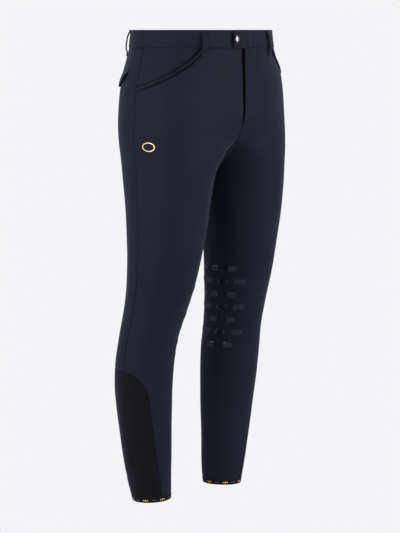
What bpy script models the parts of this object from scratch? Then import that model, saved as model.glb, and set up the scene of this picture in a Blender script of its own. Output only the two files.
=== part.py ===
"""Men's riding breeches, standing hollow as if worn, with nobody in them.

The cloth is a set of sewn panels, each a thin closed wall. All of them are read from one surface,
surface_point(around, height), so neighbouring panels share their seam lines:

    around  0 at the centre front or inner leg, 0.25 at the front of the leg, 0.5 at the side seam,
            0.75 at the back of the leg and 1 at the centre back or inner leg again
    height  millimetres, 0 at the top of the waistband and negative below

The surface is the wearer's left half, at +X. A panel of the right half is made from it too and
mirrored: its side is -1. The front faces -Y. Tables and sizes are in millimetres, and the meshes
are in metres.
"""

import math
from collections import namedtuple

import bpy
from mathutils import Vector

MM = 0.001

# Driving heights, in millimetres below the top of the waistband
WAIST_SEAM = -35.0
HIP_ROW = -165.0
FRONT_RISE_START = -150.0
BACK_RISE_START = -125.0
CROTCH = -252.0
THIGH_START = -300.0
BELOW_CROTCH_ROWS = (-268.0, -280.0)
KNEE_ROW = -500.0
BELOW_KNEE_ROWS = (-532.0, -564.0, -595.0)
ABOVE_CALF_ROW = -625.0
HEM = -931.0
HEM_OUTER_DROP = 4.0
HEM_TILT_START = -800.0

# How far round the leg the crotch seam draws the cloth in, and the web it leaves below the seam
CROTCH_REACH = 0.16
CROTCH_WEB = 12.0
CROTCH_WEB_HEIGHT = 34.0

# Cloth
CLOTH = 1.3
STRETCH_CLOTH = 1.1
WAISTBAND = 2.4
WAISTBAND_OUT = 1.2
TAPE = 1.6
TAPE_OUT = 0.2
TAPE_HEIGHT = 10.0
SEAM_GAP = 0.3

# Waistband tab and its button
TAB_PAST_CENTRE = 33.0
TAB_CORNER = 9.0
TAB_OUT = WAISTBAND_OUT + WAISTBAND + SEAM_GAP
TAB_RAMP = (0.012, 0.055)
BUTTON_FROM_CENTRE = 21.5
BUTTON_RADIUS = 8.0
BUTTON_HEIGHT = 3.2

# Fly, on the wearer's left front
FLY_WIDTH = 31.0
FLY_OVERHANG = 2.5
FLY_FOOT = -178.0
FLY_CURVE = 42.0
FLY_LAYER = 1.2

# Front pocket: a curved mouth from the waist seam to the side seam
POCKET_WIDTH = 122.0
POCKET_DROP = 77.0
POCKET_POWER = 1.48
FACING_LAYER = 1.1
FACING_REACH = 1.10
FACING_SINK = (0.885, 0.955)
FACING_SCALES = (0.0, 0.28, 0.56, 0.76, 0.885, 0.955, 1.012, FACING_REACH)
FACING_UNDER_BACK = 0.010
PIPING_LAYER = 1.3
PIPING_SPAN = (0.985, 1.04)
PIPING_TAPER = 0.22

# Back pocket flap
FLAP_TOP = -68.0
FLAP_DROP = 40.0
FLAP_FROM = 0.566
FLAP_TO = 0.80
FLAP_LAYER = 1.6
FLAP_STAND_OFF = 3.4

# Belt loops
LOOP_WIDTH = 11.0
LOOP_LAYER = 1.4

# Calf insert of stretch cloth: it takes in the outer side and the back of the lower leg
CALF_TOP = -665.0
CALF_CORNER = -692.0
CALF_FIRST_ROWS = (-706.0, -724.0)
CALF_CORNER_FRONT = 0.377
CALF_CORNER_BACK = 0.79

# Plain oval ring on the right thigh
OVAL_LENGTH = 28.0
OVAL_HEIGHT = 18.0
OVAL_LINE = 2.0
OVAL_LAYER = 0.7
OVAL_CENTRE_HEIGHT = -222.0
OVAL_FROM_SIDE_SEAM = 36.0

TorsoRow = namedtuple("TorsoRow", "height half_width front back front_power back_power")
TORSO = (
    TorsoRow(0, 155.5, 118, 114, 2.10, 2.10),
    TorsoRow(-18, 156.5, 119, 116, 2.12, 2.10),
    TorsoRow(-36, 159, 120, 119, 2.18, 2.10),
    TorsoRow(-60, 165, 120, 124, 2.35, 2.12),
    TorsoRow(-90, 173, 120, 127, 2.50, 2.15),
    TorsoRow(-130, 179, 120, 129, 2.60, 2.20),
    TorsoRow(-170, 182, 120, 129, 2.65, 2.20),
    TorsoRow(-210, 185, 119, 122, 2.65, 2.20),
    TorsoRow(-252, 185.5, 118, 112, 2.60, 2.20),
    TorsoRow(-350, 178, 112, 106, 2.40, 2.20),
)

LegRow = namedtuple("LegRow", "height centre_x centre_y half_width half_depth inner_back")
LEG = (
    LegRow(-130, 93.0, 6.0, 87.0, 118.0, 0.0),
    LegRow(-170, 95.5, 3.0, 87.5, 113.0, 0.0),
    LegRow(-220, 97.6, -4.0, 87.2, 105.0, 0.0),
    LegRow(-252, 98.6, -7.4, 86.5, 99.8, 0.0),
    LegRow(-300, 101.4, -9.2, 83.7, 92.0, 0.0),
    LegRow(-330, 103.0, -9.7, 81.3, 87.2, 0.0),
    LegRow(-360, 104.0, -9.3, 79.2, 83.3, 0.0),
    LegRow(-400, 104.4, -6.4, 75.5, 79.5, 0.0),
    LegRow(-450, 106.2, -1.8, 71.0, 74.0, 0.3),
    LegRow(-500, 108.5, 5.5, 66.0, 69.0, 0.4),
    LegRow(-550, 113.0, 16.5, 61.5, 63.5, 0.3),
    LegRow(-600, 118.5, 29.0, 58.3, 60.8, 0.8),
    LegRow(-650, 120.7, 37.8, 57.5, 61.0, 1.8),
    LegRow(-700, 120.8, 42.2, 56.5, 60.0, 0.9),
    LegRow(-750, 117.8, 43.4, 54.4, 56.4, 0.3),
    LegRow(-800, 114.2, 43.5, 50.9, 52.5, 0.0),
    LegRow(-850, 109.8, 43.4, 47.2, 48.7, 0.0),
    LegRow(-900, 104.6, 42.8, 43.1, 44.3, 0.0),
    LegRow(-945, 99.0, 40.6, 37.2, 38.0, 0.0),
)

# How far round the leg the two long edges of the calf insert lie
CalfEdge = namedtuple("CalfEdge", "height front back")
CALF_EDGES = (
    CalfEdge(-692, 0.377, 0.790),
    CalfEdge(-712, 0.354, 0.800),
    CalfEdge(-740, 0.342, 0.799),
    CalfEdge(-780, 0.329, 0.793),
    CalfEdge(-825, 0.317, 0.785),
    CalfEdge(-870, 0.304, 0.777),
    CalfEdge(-920, 0.290, 0.768),
    CalfEdge(-945, 0.283, 0.764),
)

# How far a belt loop's outer face stands off the garment's surface
LoopRow = namedtuple("LoopRow", "height out")
LOOP_PROFILE = (
    LoopRow(0.0, 3.0),
    LoopRow(-3.0, 3.1),
    LoopRow(-9.0, 5.6),
    LoopRow(-16.0, 7.0),
    LoopRow(-24.0, 7.4),
    LoopRow(-32.0, 7.2),
    LoopRow(-39.0, 5.6),
    LoopRow(-44.0, 2.6),
    LoopRow(-48.0, 2.0),
    LoopRow(-51.0, 2.0),
)

LoopPlace = namedtuple("LoopPlace", "name side round")
LOOP_PLACES = (
    LoopPlace("belt_loop_front_right", -1, 0.2315),
    LoopPlace("belt_loop_front_left", 1, 0.210),
    LoopPlace("belt_loop_back_right", -1, 0.665),
    LoopPlace("belt_loop_back_left", 1, 0.665),
    LoopPlace("belt_loop_centre_back", 1, 1.0),
)

SIDE_NAMES = {-1: "right", 1: "left"}

NAVY = ("navy stretch cloth", (0.020, 0.024, 0.042, 1.0), 0.62, 0.0)
BLACK = ("black calf cloth", (0.010, 0.010, 0.011, 1.0), 0.75, 0.0)
TAPE_BLACK = ("hem tape", (0.012, 0.012, 0.013, 1.0), 0.6, 0.0)
STEEL = ("polished steel", (0.75, 0.75, 0.78, 1.0), 0.18, 1.0)
GOLD = ("pale gold", (0.78, 0.66, 0.40, 1.0), 0.3, 1.0)


# --------------------------------------------------------------------------- the surface


def smooth_row(rows, height):
    """A table's row at any height, by a cubic through its rows, which run downwards."""
    height = max(min(height, rows[0].height), rows[-1].height)
    last = len(rows) - 2
    i = min(last, next(k for k in range(last + 1) if rows[k + 1].height <= height))
    a, b = rows[i], rows[i + 1]
    span = b.height - a.height
    t = (height - a.height) / span

    def slope(k, name):
        above, below = rows[max(k - 1, 0)], rows[min(k + 1, len(rows) - 1)]
        return (getattr(below, name) - getattr(above, name)) / (below.height - above.height)

    def value(name):
        start, end = getattr(a, name), getattr(b, name)
        lean_start, lean_end = slope(i, name) * span, slope(i + 1, name) * span
        return (
            start * (2 * t**3 - 3 * t**2 + 1)
            + lean_start * (t**3 - 2 * t**2 + t)
            + end * (3 * t**2 - 2 * t**3)
            + lean_end * (t**3 - t**2)
        )

    return type(a)(*[height if name == "height" else value(name) for name in a._fields])


def ease(low, high, value):
    """0 below low, 1 above high, and smooth between."""
    t = max(0.0, min(1.0, (value - low) / (high - low)))
    return t * t * (3 - 2 * t)


def torso_section(around, height):
    """(x, y) on the half torso: a squared ellipse, as deep in front and behind as the table says."""
    row = smooth_row(TORSO, height)
    angle = math.pi * around
    ahead = math.cos(angle) > 0
    depth = row.front if ahead else row.back
    power = row.front_power if ahead else row.back_power
    reach = (
        abs(math.sin(angle) / row.half_width) ** power + abs(math.cos(angle) / depth) ** power
    ) ** (-1 / power)
    return reach * math.sin(angle), -reach * math.cos(angle)


def leg_section(around, height):
    """(x, y) on the leg's ring, which starts and ends at the inner leg. Just below the crotch its
    inner side swells out to the other leg."""
    row = smooth_row(LEG, height)
    angle = 2 * math.pi * around
    inward = math.cos(angle)
    below = min(1.0, max(0.0, CROTCH - height) / CROTCH_WEB_HEIGHT)
    web = CROTCH_WEB * (1 - below) ** 3 * max(0.0, inward) ** 4
    return (
        row.centre_x - row.half_width * inward - web,
        row.centre_y - row.half_depth * math.sin(angle) + row.inner_back * inward,
    )


def leg_share(around, height):
    """0 on the torso and 1 on the leg. At the inner leg it rises as a quarter circle, which draws
    the round crotch seam, lower in front than behind, and further out it rises softly."""
    behind = ease(0.2, 0.8, around)
    start = FRONT_RISE_START * (1 - behind) + BACK_RISE_START * behind
    down = max(0.0, min(1.0, (start - height) / (start - CROTCH)))
    outward = ease(0.0, CROTCH_REACH, min(around, 1 - around))
    round_rise = 1 - math.sqrt(1 - down * down)
    return round_rise * (1 - outward) + ease(start, THIGH_START, height) * outward


def surface_xy(around, height):
    share = leg_share(around, height)
    if share >= 1:
        return leg_section(around, height)
    torso = torso_section(around, height)
    if share <= 0:
        return torso
    leg = leg_section(around, height)
    return tuple(t * (1 - share) + s * share for t, s in zip(torso, leg))


def surface_point(around, height):
    x, y = surface_xy(around, height)
    return Vector((x, y, height))


def surface_normal(around, height):
    """The way out of the cloth on the wearer's left."""
    step_round, step_down = 0.004, 1.0
    along = surface_point(around + step_round, height) - surface_point(around - step_round, height)
    down = surface_point(around, height - step_down) - surface_point(around, height + step_down)
    return down.cross(along).normalized()


def round_at_arc(height, arc):
    """Where the section has run that many millimetres from the side seam towards the front."""
    step = 0.002
    around, gone = 0.5, 0.0
    here = surface_point(around, height)
    while around > -0.2:
        there = surface_point(around - step, height)
        length = (there - here).length
        if gone + length >= arc:
            return around - step * (arc - gone) / length
        gone, around, here = gone + length, around - step, there
    return around


def round_at_x(height, x):
    """Where the front of the wearer's left half is that far from the centre line, which may be
    negative for a layer that laps over to the right."""
    low, high = -0.25, 0.4
    for _ in range(40):
        middle = (low + high) / 2
        if surface_xy(middle, height)[0] < x:
            low = middle
        else:
            high = middle
    return (low + high) / 2


def hem_height(around):
    """The hem is a little lower on the outer side of each leg."""
    return HEM + HEM_OUTER_DROP * math.cos(2 * math.pi * around)


def tilted(around, height):
    """A height near the hem, leaned to keep its distance from the hem line."""
    lean = ease(HEM_TILT_START, HEM, height) if height <= HEM_TILT_START else 0.0
    return height + (hem_height(around) - HEM) * lean


# --------------------------------------------------------------------------- walls


def finish(name, corners, faces, finish_of):
    """One closed mesh object of that name, from corners in millimetres."""
    mesh = bpy.data.meshes.new(name)
    mesh.from_pydata([corner * MM for corner in corners], [], faces)
    mesh.validate()
    mesh.shade_smooth()
    mesh.set_sharp_from_angle(angle=math.radians(40))
    mesh.materials.append(material(*finish_of))
    piece = bpy.data.objects.new(name, mesh)
    bpy.context.scene.collection.objects.link(piece)
    return piece


def material(name, colour, roughness, metallic):
    found = bpy.data.materials.get(name)
    if found:
        return found
    made = bpy.data.materials.new(name)
    made.use_nodes = True
    shader = made.node_tree.nodes["Principled BSDF"]
    shader.inputs["Base Color"].default_value = colour
    shader.inputs["Roughness"].default_value = roughness
    shader.inputs["Metallic"].default_value = metallic
    return made


def grid_faces(rows, ring):
    """Quads between rows of (round, height) places, numbered row by row. A row may be shorter
    than the one above it, and then the wall narrows there."""
    first = [sum(len(row) for row in rows[:i]) for i in range(len(rows))]
    faces = []
    for i in range(len(rows) - 1):
        width = min(len(rows[i]), len(rows[i + 1]))
        for j in range(width if ring else width - 1):
            k = (j + 1) % width
            faces.append((first[i] + j, first[i + 1] + j, first[i + 1] + k, first[i] + k))
    return faces


def outline_edges(faces):
    """The edges that only one face has, each in that face's direction."""
    edges = {(f[k], f[(k + 1) % 4]) for f in faces for k in range(4)}
    return [edge for edge in edges if (edge[1], edge[0]) not in edges]


def turned_over(face):
    """The face seen from behind, with its first corner kept so that its diagonal stays."""
    return (face[0],) + tuple(reversed(face[1:]))


def drawn_in(points, faces, outline, distance):
    """The points again, with those on the outline moved along the cloth towards its inside."""
    centre_sum = {}
    for face in faces:
        centre = sum((points[k] for k in face), Vector()) / 4
        for k in face:
            total, count = centre_sum.get(k, (Vector(), 0))
            centre_sum[k] = (total + centre, count + 1)
    moved = list(points)
    for k in {end for edge in outline for end in edge}:
        total, count = centre_sum[k]
        moved[k] = points[k] + (total / count - points[k]).normalized() * distance
    return moved


def cloth_wall(name, side, rows, thickness, finish_of, out=None, ring=False, laps_centre=False):
    """A closed wall of cloth over rows of (round, height) places. out(round, height) is how far
    its outer face stands off the garment's surface, and nothing puts it on the surface."""
    places = [place for row in rows for place in row]
    faces = grid_faces(rows, ring)
    used = sorted({k for face in faces for k in face})
    number = {k: n for n, k in enumerate(used)}
    places = [places[k] for k in used]
    faces = [tuple(number[k] for k in face) for face in faces]
    outline = outline_edges(faces)
    points = drawn_in(
        [surface_point(*place) for place in places], faces, outline, SEAM_GAP / 2
    )
    outer, inner = [], []
    for place, point in zip(places, points):
        normal = surface_normal(*place)
        stand_off = out(*place) if out else 0.0
        outer.append(point + normal * stand_off)
        inner.append(point + normal * (stand_off - thickness))
    count = len(outer)
    shell = list(faces)
    shell += [tuple(k + count for k in turned_over(face)) for face in faces]
    shell += [(b, a, a + count, b + count) for a, b in outline]
    corners = outer + inner
    if not laps_centre:
        for corner in corners:
            corner.x = max(corner.x, SEAM_GAP / 2)
    volume = sum(
        corners[f[0]].dot(corners[f[1]].cross(corners[f[2]]))
        + corners[f[0]].dot(corners[f[2]].cross(corners[f[3]]))
        for f in shell
    )
    mirrored = [Vector((corner.x * side, corner.y, corner.z)) for corner in corners]
    if (volume < 0) == (side > 0):
        shell = [turned_over(face) for face in shell]
    return finish(name, mirrored, shell, finish_of)


def between(upper, lower, steps):
    """The rows strictly between two rows of places, and the lower one."""
    rows = []
    for step in range(1, steps + 1):
        t = step / steps
        rows.append(
            [(a[0] + (b[0] - a[0]) * t, a[1] + (b[1] - a[1]) * t) for a, b in zip(upper, lower)]
        )
    return rows


def level_row(rounds, height):
    return [(around, tilted(around, height)) for around in rounds]


def spread(first, last, count):
    """count + 1 even steps from first to last."""
    return [first + (last - first) * k / count for k in range(count + 1)]


# --------------------------------------------------------------------------- outlines


def pocket_place(turn, scale=1.0):
    """A place on the pocket mouth. turn is 0 at the waist seam and 1 at the side seam, and scale
    draws a like curve nearer to or further from the corner where those two seams meet."""
    angle = turn * math.pi / 2
    arc = POCKET_WIDTH * scale * math.cos(angle) ** (2 / POCKET_POWER)
    drop = POCKET_DROP * scale * math.sin(angle) ** (2 / POCKET_POWER)
    height = WAIST_SEAM - drop
    return round_at_arc(height, arc), height


def calf_top_place(around):
    """A place on the top edge of the calf insert, which is a low dome with round shoulders."""
    middle = (CALF_CORNER_FRONT + CALF_CORNER_BACK) / 2
    half = (CALF_CORNER_BACK - CALF_CORNER_FRONT) / 2
    off = abs(around - middle) / half
    return around, CALF_CORNER + (CALF_TOP - CALF_CORNER) * (1 - off**3.4)


CENTRE_COLUMNS = 6
MOUTH_COLUMNS = 10
FRONT_COLUMNS = CENTRE_COLUMNS + MOUTH_COLUMNS
BACK_COLUMNS = 14
FRONT_STRIP = 10
BACK_STRIP = 6
HEM_LINE = HEM + TAPE_HEIGHT


def crotch_rows(rounds):
    """Level rows spaced evenly along the crotch seam."""
    rows = []
    steps = 6
    for step in range(1, steps + 1):
        sine = math.sin(step / steps * math.pi / 2)
        height = FRONT_RISE_START + (CROTCH - FRONT_RISE_START) * sine
        rows.append(level_row(rounds, height))
    return rows


def thigh_rows(rounds):
    heights = (*BELOW_CROTCH_ROWS, *spread(THIGH_START, KNEE_ROW, 8), *BELOW_KNEE_ROWS)
    return [level_row(rounds, height) for height in heights]


def calf_heights():
    first, second = CALF_FIRST_ROWS
    return [first] + spread(second, HEM_LINE, 8)


def strip_row(edge_name, inner, columns, height):
    """A row of the narrow strip that is left between the inner leg and the calf insert."""
    edge = getattr(smooth_row(CALF_EDGES, height), edge_name)
    return level_row(spread(inner, edge, columns), height)


def front_rows():
    """The front panel, from the waist seam and pocket mouth to the hem tape."""
    mouth_top = pocket_place(0.0)[0]
    top = [(around, WAIST_SEAM) for around in spread(0.0, mouth_top, CENTRE_COLUMNS)]
    top += [pocket_place(k / MOUTH_COLUMNS) for k in range(1, MOUTH_COLUMNS + 1)]
    even = spread(0.0, 0.5, FRONT_COLUMNS)
    rows = [top] + between(top, level_row(even, HIP_ROW), 5)
    rows += crotch_rows(even) + thigh_rows(even)
    rows.append(level_row(even, ABOVE_CALF_ROW))
    strip = spread(0.0, CALF_CORNER_FRONT, FRONT_STRIP)
    shoulder = spread(CALF_CORNER_FRONT, 0.5, FRONT_COLUMNS - FRONT_STRIP)[1:]
    calf_top = [(around, CALF_CORNER) for around in strip]
    calf_top += [calf_top_place(around) for around in shoulder]
    rows += between(rows[-1], calf_top, 2)
    rows += [strip_row("front", 0.0, FRONT_STRIP, height) for height in calf_heights()]
    return rows


def back_rows():
    """The back panel. Its rows run from the centre back to the side seam."""
    even = spread(1.0, 0.5, BACK_COLUMNS)
    top = [(around, WAIST_SEAM) for around in even]
    rows = [top] + between(top, level_row(even, HIP_ROW), 5)
    rows += crotch_rows(even) + thigh_rows(even)
    rows.append(level_row(even, ABOVE_CALF_ROW))
    strip = spread(1.0, CALF_CORNER_BACK, BACK_STRIP)
    shoulder = spread(CALF_CORNER_BACK, 0.5, BACK_COLUMNS - BACK_STRIP)[1:]
    calf_top = [(around, CALF_CORNER) for around in strip]
    calf_top += [calf_top_place(around) for around in shoulder]
    rows += between(rows[-1], calf_top, 2)
    rows += [strip_row("back", 1.0, BACK_STRIP, height) for height in calf_heights()]
    return rows


def calf_rows():
    """The calf insert. Its top row has the same places as the panels above it."""
    front = spread(CALF_CORNER_FRONT, 0.5, FRONT_COLUMNS - FRONT_STRIP)
    back = spread(0.5, CALF_CORNER_BACK, BACK_COLUMNS - BACK_STRIP)
    rounds = front + back[1:]
    rows = [[calf_top_place(around) for around in rounds]]
    for height in calf_heights():
        edge = smooth_row(CALF_EDGES, height)
        share = [(r - CALF_CORNER_FRONT) / (CALF_CORNER_BACK - CALF_CORNER_FRONT) for r in rounds]
        rows.append(level_row([edge.front + (edge.back - edge.front) * s for s in share], height))
    return rows


# --------------------------------------------------------------------------- pieces


def make_legs(side):
    name = SIDE_NAMES[side]
    cloth_wall(f"front_panel_{name}", side, front_rows(), CLOTH, NAVY)
    cloth_wall(f"back_panel_{name}", side, back_rows(), CLOTH, NAVY)
    cloth_wall(f"calf_insert_{name}", side, calf_rows(), STRETCH_CLOTH, BLACK)


def make_hem_tape(side):
    columns = 26
    rounds = [k / columns for k in range(columns)]
    top = [(around, tilted(around, HEM_LINE)) for around in rounds]
    foot = [(around, hem_height(around)) for around in rounds]
    cloth_wall(
        f"hem_tape_{SIDE_NAMES[side]}",
        side,
        [top, foot],
        TAPE,
        TAPE_BLACK,
        out=lambda around, height: TAPE_OUT,
        ring=True,
    )


def make_pocket_facing(side):
    """The cloth that shows inside the pocket mouth. It meets the side and waist seams flush, and
    passes under the front panel at the mouth and under the back panel at the mouth's end."""
    columns = 12
    under = CLOTH + SEAM_GAP + 0.5

    def nearness(around, height):
        arc = sum(
            (surface_point(a, height) - surface_point(b, height)).length
            for a, b in zip(spread(around, 0.5, 8), spread(around, 0.5, 8)[1:])
        )
        across = (arc / POCKET_WIDTH) ** POCKET_POWER
        down = ((WAIST_SEAM - height) / POCKET_DROP) ** POCKET_POWER
        return (across + max(down, 0.0)) ** (1 / POCKET_POWER)

    rows = [[] for _ in FACING_SCALES]
    for column in range(columns + 1):
        turn = 1 - 0.93 * column / columns
        foot_round, foot_height = pocket_place(turn, FACING_REACH)
        for row, scale in zip(rows, FACING_SCALES):
            behind = FACING_UNDER_BACK if column == 0 and scale > 1 else 0.0
            height = WAIST_SEAM + (foot_height - WAIST_SEAM) * scale / FACING_REACH
            row.append((foot_round + behind, height))
    cloth_wall(
        f"pocket_facing_{SIDE_NAMES[side]}",
        side,
        rows,
        FACING_LAYER,
        NAVY,
        out=lambda around, height: -under * ease(*FACING_SINK, nearness(around, height)),
    )


def make_pocket_piping(side):
    """The rolled edge of the pocket mouth, on the front panel."""
    columns = 16
    inner, outer = PIPING_SPAN

    def place(turn, scale):
        width = 0.15 + 0.85 * ease(0.0, PIPING_TAPER, turn)
        return pocket_place(turn, 1 + (scale - 1) * width)

    rows = [
        [place(k / columns, scale) for k in range(columns + 1)]
        for scale in (inner, (inner + outer) / 2, outer)
    ]
    crown = {row[0]: lift for row, lift in zip(rows, (0.0, 0.8, 0.0))}
    lifts = {place: lift for row, lift in zip(rows, crown.values()) for place in row}
    base = PIPING_LAYER + SEAM_GAP
    cloth_wall(
        f"pocket_piping_{SIDE_NAMES[side]}",
        side,
        rows,
        PIPING_LAYER,
        NAVY,
        out=lambda around, height: base + lifts[(around, height)],
    )


def make_back_flap(side):
    """A back pocket flap with round lower corners, standing a little off at its free edge."""
    rounds = spread(FLAP_FROM, FLAP_TO, 10)
    middle, half = (FLAP_FROM + FLAP_TO) / 2, (FLAP_TO - FLAP_FROM) / 2
    shallow = 0.28

    def foot(around):
        off = abs(around - middle) / half
        return FLAP_TOP - FLAP_DROP * (shallow + (1 - shallow) * (1 - off**3.0))

    rows = [
        [(around, FLAP_TOP + (foot(around) - FLAP_TOP) * level / 3) for around in rounds]
        for level in range(4)
    ]
    cloth_wall(
        f"back_flap_{SIDE_NAMES[side]}",
        side,
        rows,
        FLAP_LAYER,
        NAVY,
        out=lambda around, height: FLAP_LAYER
        + SEAM_GAP
        + FLAP_STAND_OFF * ease(0.0, FLAP_DROP, FLAP_TOP - height),
    )


def make_waistband():
    """Two bands that meet at the centre back. The left one runs on over the right as the tab."""
    levels = 2
    rounds = spread(0.0, 1.0, 26)
    rows = [
        [(around, WAIST_SEAM * level / levels) for around in rounds] for level in range(levels + 1)
    ]
    cloth_wall(
        "waistband_right", -1, rows, WAISTBAND, NAVY, out=lambda around, height: WAISTBAND_OUT
    )
    middle_height = WAIST_SEAM / 2
    tip = round_at_x(middle_height, -TAB_PAST_CENTRE)
    corner_end = round_at_x(middle_height, TAB_CORNER - TAB_PAST_CENTRE)
    rounds = spread(tip, corner_end, 4)[:-1] + spread(corner_end, TAB_RAMP[1], 6)[:-1]
    rounds += spread(TAB_RAMP[1], 1.0, 25)

    def end_cut(around):
        """How much of the band's height the tab's round corners take off at each edge."""
        gone = max(0.0, (corner_end - around) / (corner_end - tip))
        return TAB_CORNER * (1 - math.sqrt(max(0.0, 1 - (0.96 * gone) ** 2)))

    rows = []
    for level in range(levels + 1):
        toward_edge = 1 - 2 * level / levels
        rows.append(
            [
                (around, middle_height + (-middle_height - end_cut(around)) * toward_edge)
                for around in rounds
            ]
        )
    cloth_wall(
        "waistband_left",
        1,
        rows,
        WAISTBAND,
        NAVY,
        out=lambda around, height: TAB_OUT
        - (TAB_OUT - WAISTBAND_OUT) * ease(TAB_RAMP[0], TAB_RAMP[1], around),
        laps_centre=True,
    )


def make_fly():
    """The fly's outer layer on the left front, with its edge just past the centre line."""
    columns = 5
    heights = spread(WAIST_SEAM, FLY_FOOT + FLY_CURVE, 6)[:-1]
    heights += [
        FLY_FOOT + FLY_CURVE * (1 - math.sin(0.94 * k / 5 * math.pi / 2)) for k in range(6)
    ]
    rows = []
    for height in heights:
        down = max(0.0, (FLY_FOOT + FLY_CURVE - height) / FLY_CURVE)
        width = FLY_WIDTH * math.sqrt(1 - down**2)
        first = round_at_x(height, -FLY_OVERHANG)
        rows.append([(r, height) for r in spread(first, round_at_x(height, width), columns)])
    cloth_wall(
        "fly_front",
        1,
        rows,
        FLY_LAYER,
        NAVY,
        out=lambda around, height: FLY_LAYER + SEAM_GAP,
        laps_centre=True,
    )


def make_belt_loop(place):
    """A strap from the top of the waistband to below its seam, bowed out for a belt."""
    step = 0.005
    left = surface_point(place.round + step, WAIST_SEAM / 2)
    right = surface_point(place.round - step, WAIST_SEAM / 2)
    half = LOOP_WIDTH / 2 * 2 * step / (left - right).length
    rounds = spread(place.round - half, place.round + half, 2)
    rows = [[(around, row.height) for around in rounds] for row in LOOP_PROFILE]
    cloth_wall(
        place.name,
        place.side,
        rows,
        LOOP_LAYER,
        NAVY,
        out=lambda around, height: smooth_row(LOOP_PROFILE, height).out,
        laps_centre=True,
    )


def make_disc(name, centre, out_way, profile, finish_of, sides=24):
    """A turned piece: profile is (radius, height) pairs from its foot's centre to its crown."""
    across = out_way.cross(Vector((0, 0, 1))).normalized()
    up = across.cross(out_way).normalized()
    corners = [centre + out_way * profile[0][1]]
    for radius, lift in profile[1:-1]:
        for k in range(sides):
            angle = 2 * math.pi * k / sides
            spoke = across * math.cos(angle) + up * math.sin(angle)
            corners.append(centre + spoke * radius + out_way * lift)
    corners.append(centre + out_way * profile[-1][1])
    rings = len(profile) - 2
    faces = []
    for k in range(sides):
        n = (k + 1) % sides
        faces.append((0, 1 + n, 1 + k))
        for ring in range(rings - 1):
            a, b = 1 + ring * sides, 1 + (ring + 1) * sides
            faces.append((a + k, a + n, b + n, b + k))
        last = 1 + (rings - 1) * sides
        faces.append((last + k, last + n, len(corners) - 1))
    if across.cross(up).dot(out_way) < 0:
        faces = [tuple(reversed(face)) for face in faces]
    return finish(name, corners, faces, finish_of)


def make_button():
    """A domed metal button on the waistband tab."""
    height = WAIST_SEAM / 2
    around = round_at_x(height, -BUTTON_FROM_CENTRE)
    way = surface_normal(around, height)
    seat = surface_point(around, height) + way * (TAB_OUT + SEAM_GAP)
    radius, tall = BUTTON_RADIUS, BUTTON_HEIGHT
    profile = (
        (0.0, 0.0),
        (radius * 0.80, 0.0),
        (radius * 0.97, tall * 0.30),
        (radius, tall * 0.52),
        (radius * 0.93, tall * 0.74),
        (radius * 0.80, tall * 0.80),
        (radius * 0.70, tall * 0.72),
        (radius * 0.52, tall * 0.88),
        (radius * 0.26, tall * 0.98),
        (0.0, tall),
    )
    make_disc("waist_button", seat, way, profile, STEEL)


def make_thigh_oval():
    """A plain oval ring, fixed to the right front a little ahead of the side seam."""
    columns = 32
    rows = []
    for smaller in (0.0, OVAL_LINE):
        row = []
        for column in range(columns):
            angle = 2 * math.pi * column / columns
            along = (OVAL_LENGTH / 2 - smaller) * math.cos(angle)
            height = OVAL_CENTRE_HEIGHT + (OVAL_HEIGHT / 2 - smaller) * math.sin(angle)
            row.append((round_at_arc(height, OVAL_FROM_SIDE_SEAM + along), height))
        rows.append(row)
    cloth_wall(
        "thigh_oval",
        -1,
        rows,
        OVAL_LAYER,
        GOLD,
        out=lambda around, height: OVAL_LAYER + SEAM_GAP,
        ring=True,
    )


def main():
    for old in list(bpy.data.objects):
        bpy.data.objects.remove(old, do_unlink=True)
    for side in (-1, 1):
        make_legs(side)
        make_hem_tape(side)
        make_pocket_facing(side)
        make_pocket_piping(side)
        make_back_flap(side)
    make_waistband()
    make_fly()
    for place in LOOP_PLACES:
        make_belt_loop(place)
    make_button()
    make_thigh_oval()


main()
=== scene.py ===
"""Finishes a pair of riding breeches: cloth, sewing, button, knee grip and a plain studio.

The file is laid out as a Blender add-on and is run as a script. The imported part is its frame: every
piece here takes the place of one of its solids, or lies on one.

All the cloth is read from one surface, the same as the part's own:

    around  0 at the centre front or inner leg, 0.25 at the front of the leg, 0.5 at the side seam,
            0.75 at the back of the leg and 1 at the centre back or inner leg again
    height  millimetres, 0 at the top of the waistband and negative below
    arc     millimetres along the cloth from the side seam, positive towards the front
    out     millimetres off that surface

The surface is the wearer's left half, side 1. The right half, side -1, is its mirror image. Tables
and sizes are in millimetres, and meshes are in metres.
"""

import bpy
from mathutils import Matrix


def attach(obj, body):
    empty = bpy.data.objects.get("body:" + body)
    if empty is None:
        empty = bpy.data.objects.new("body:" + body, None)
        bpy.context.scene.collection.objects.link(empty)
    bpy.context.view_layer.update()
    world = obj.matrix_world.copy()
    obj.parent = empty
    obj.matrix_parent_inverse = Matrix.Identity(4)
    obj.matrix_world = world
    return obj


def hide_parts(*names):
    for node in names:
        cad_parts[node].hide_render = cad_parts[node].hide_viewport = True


bl_info = {
    "name": "Riding Breeches",
    "version": (1, 0, 0),
    "blender": (4, 5, 0),
    "location": "3D View > Sidebar > Breeches",
    "description": "Builds the cloth, sewing, trims and studio of a pair of riding breeches",
    "category": "Add Mesh",
}

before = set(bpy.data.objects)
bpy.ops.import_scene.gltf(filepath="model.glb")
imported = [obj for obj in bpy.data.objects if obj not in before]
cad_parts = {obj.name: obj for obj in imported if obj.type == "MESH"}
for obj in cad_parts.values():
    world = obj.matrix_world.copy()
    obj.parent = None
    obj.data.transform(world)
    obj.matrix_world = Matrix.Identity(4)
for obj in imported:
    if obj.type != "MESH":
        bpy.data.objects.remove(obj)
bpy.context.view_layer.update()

import math
from collections import namedtuple
from functools import partial

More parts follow.
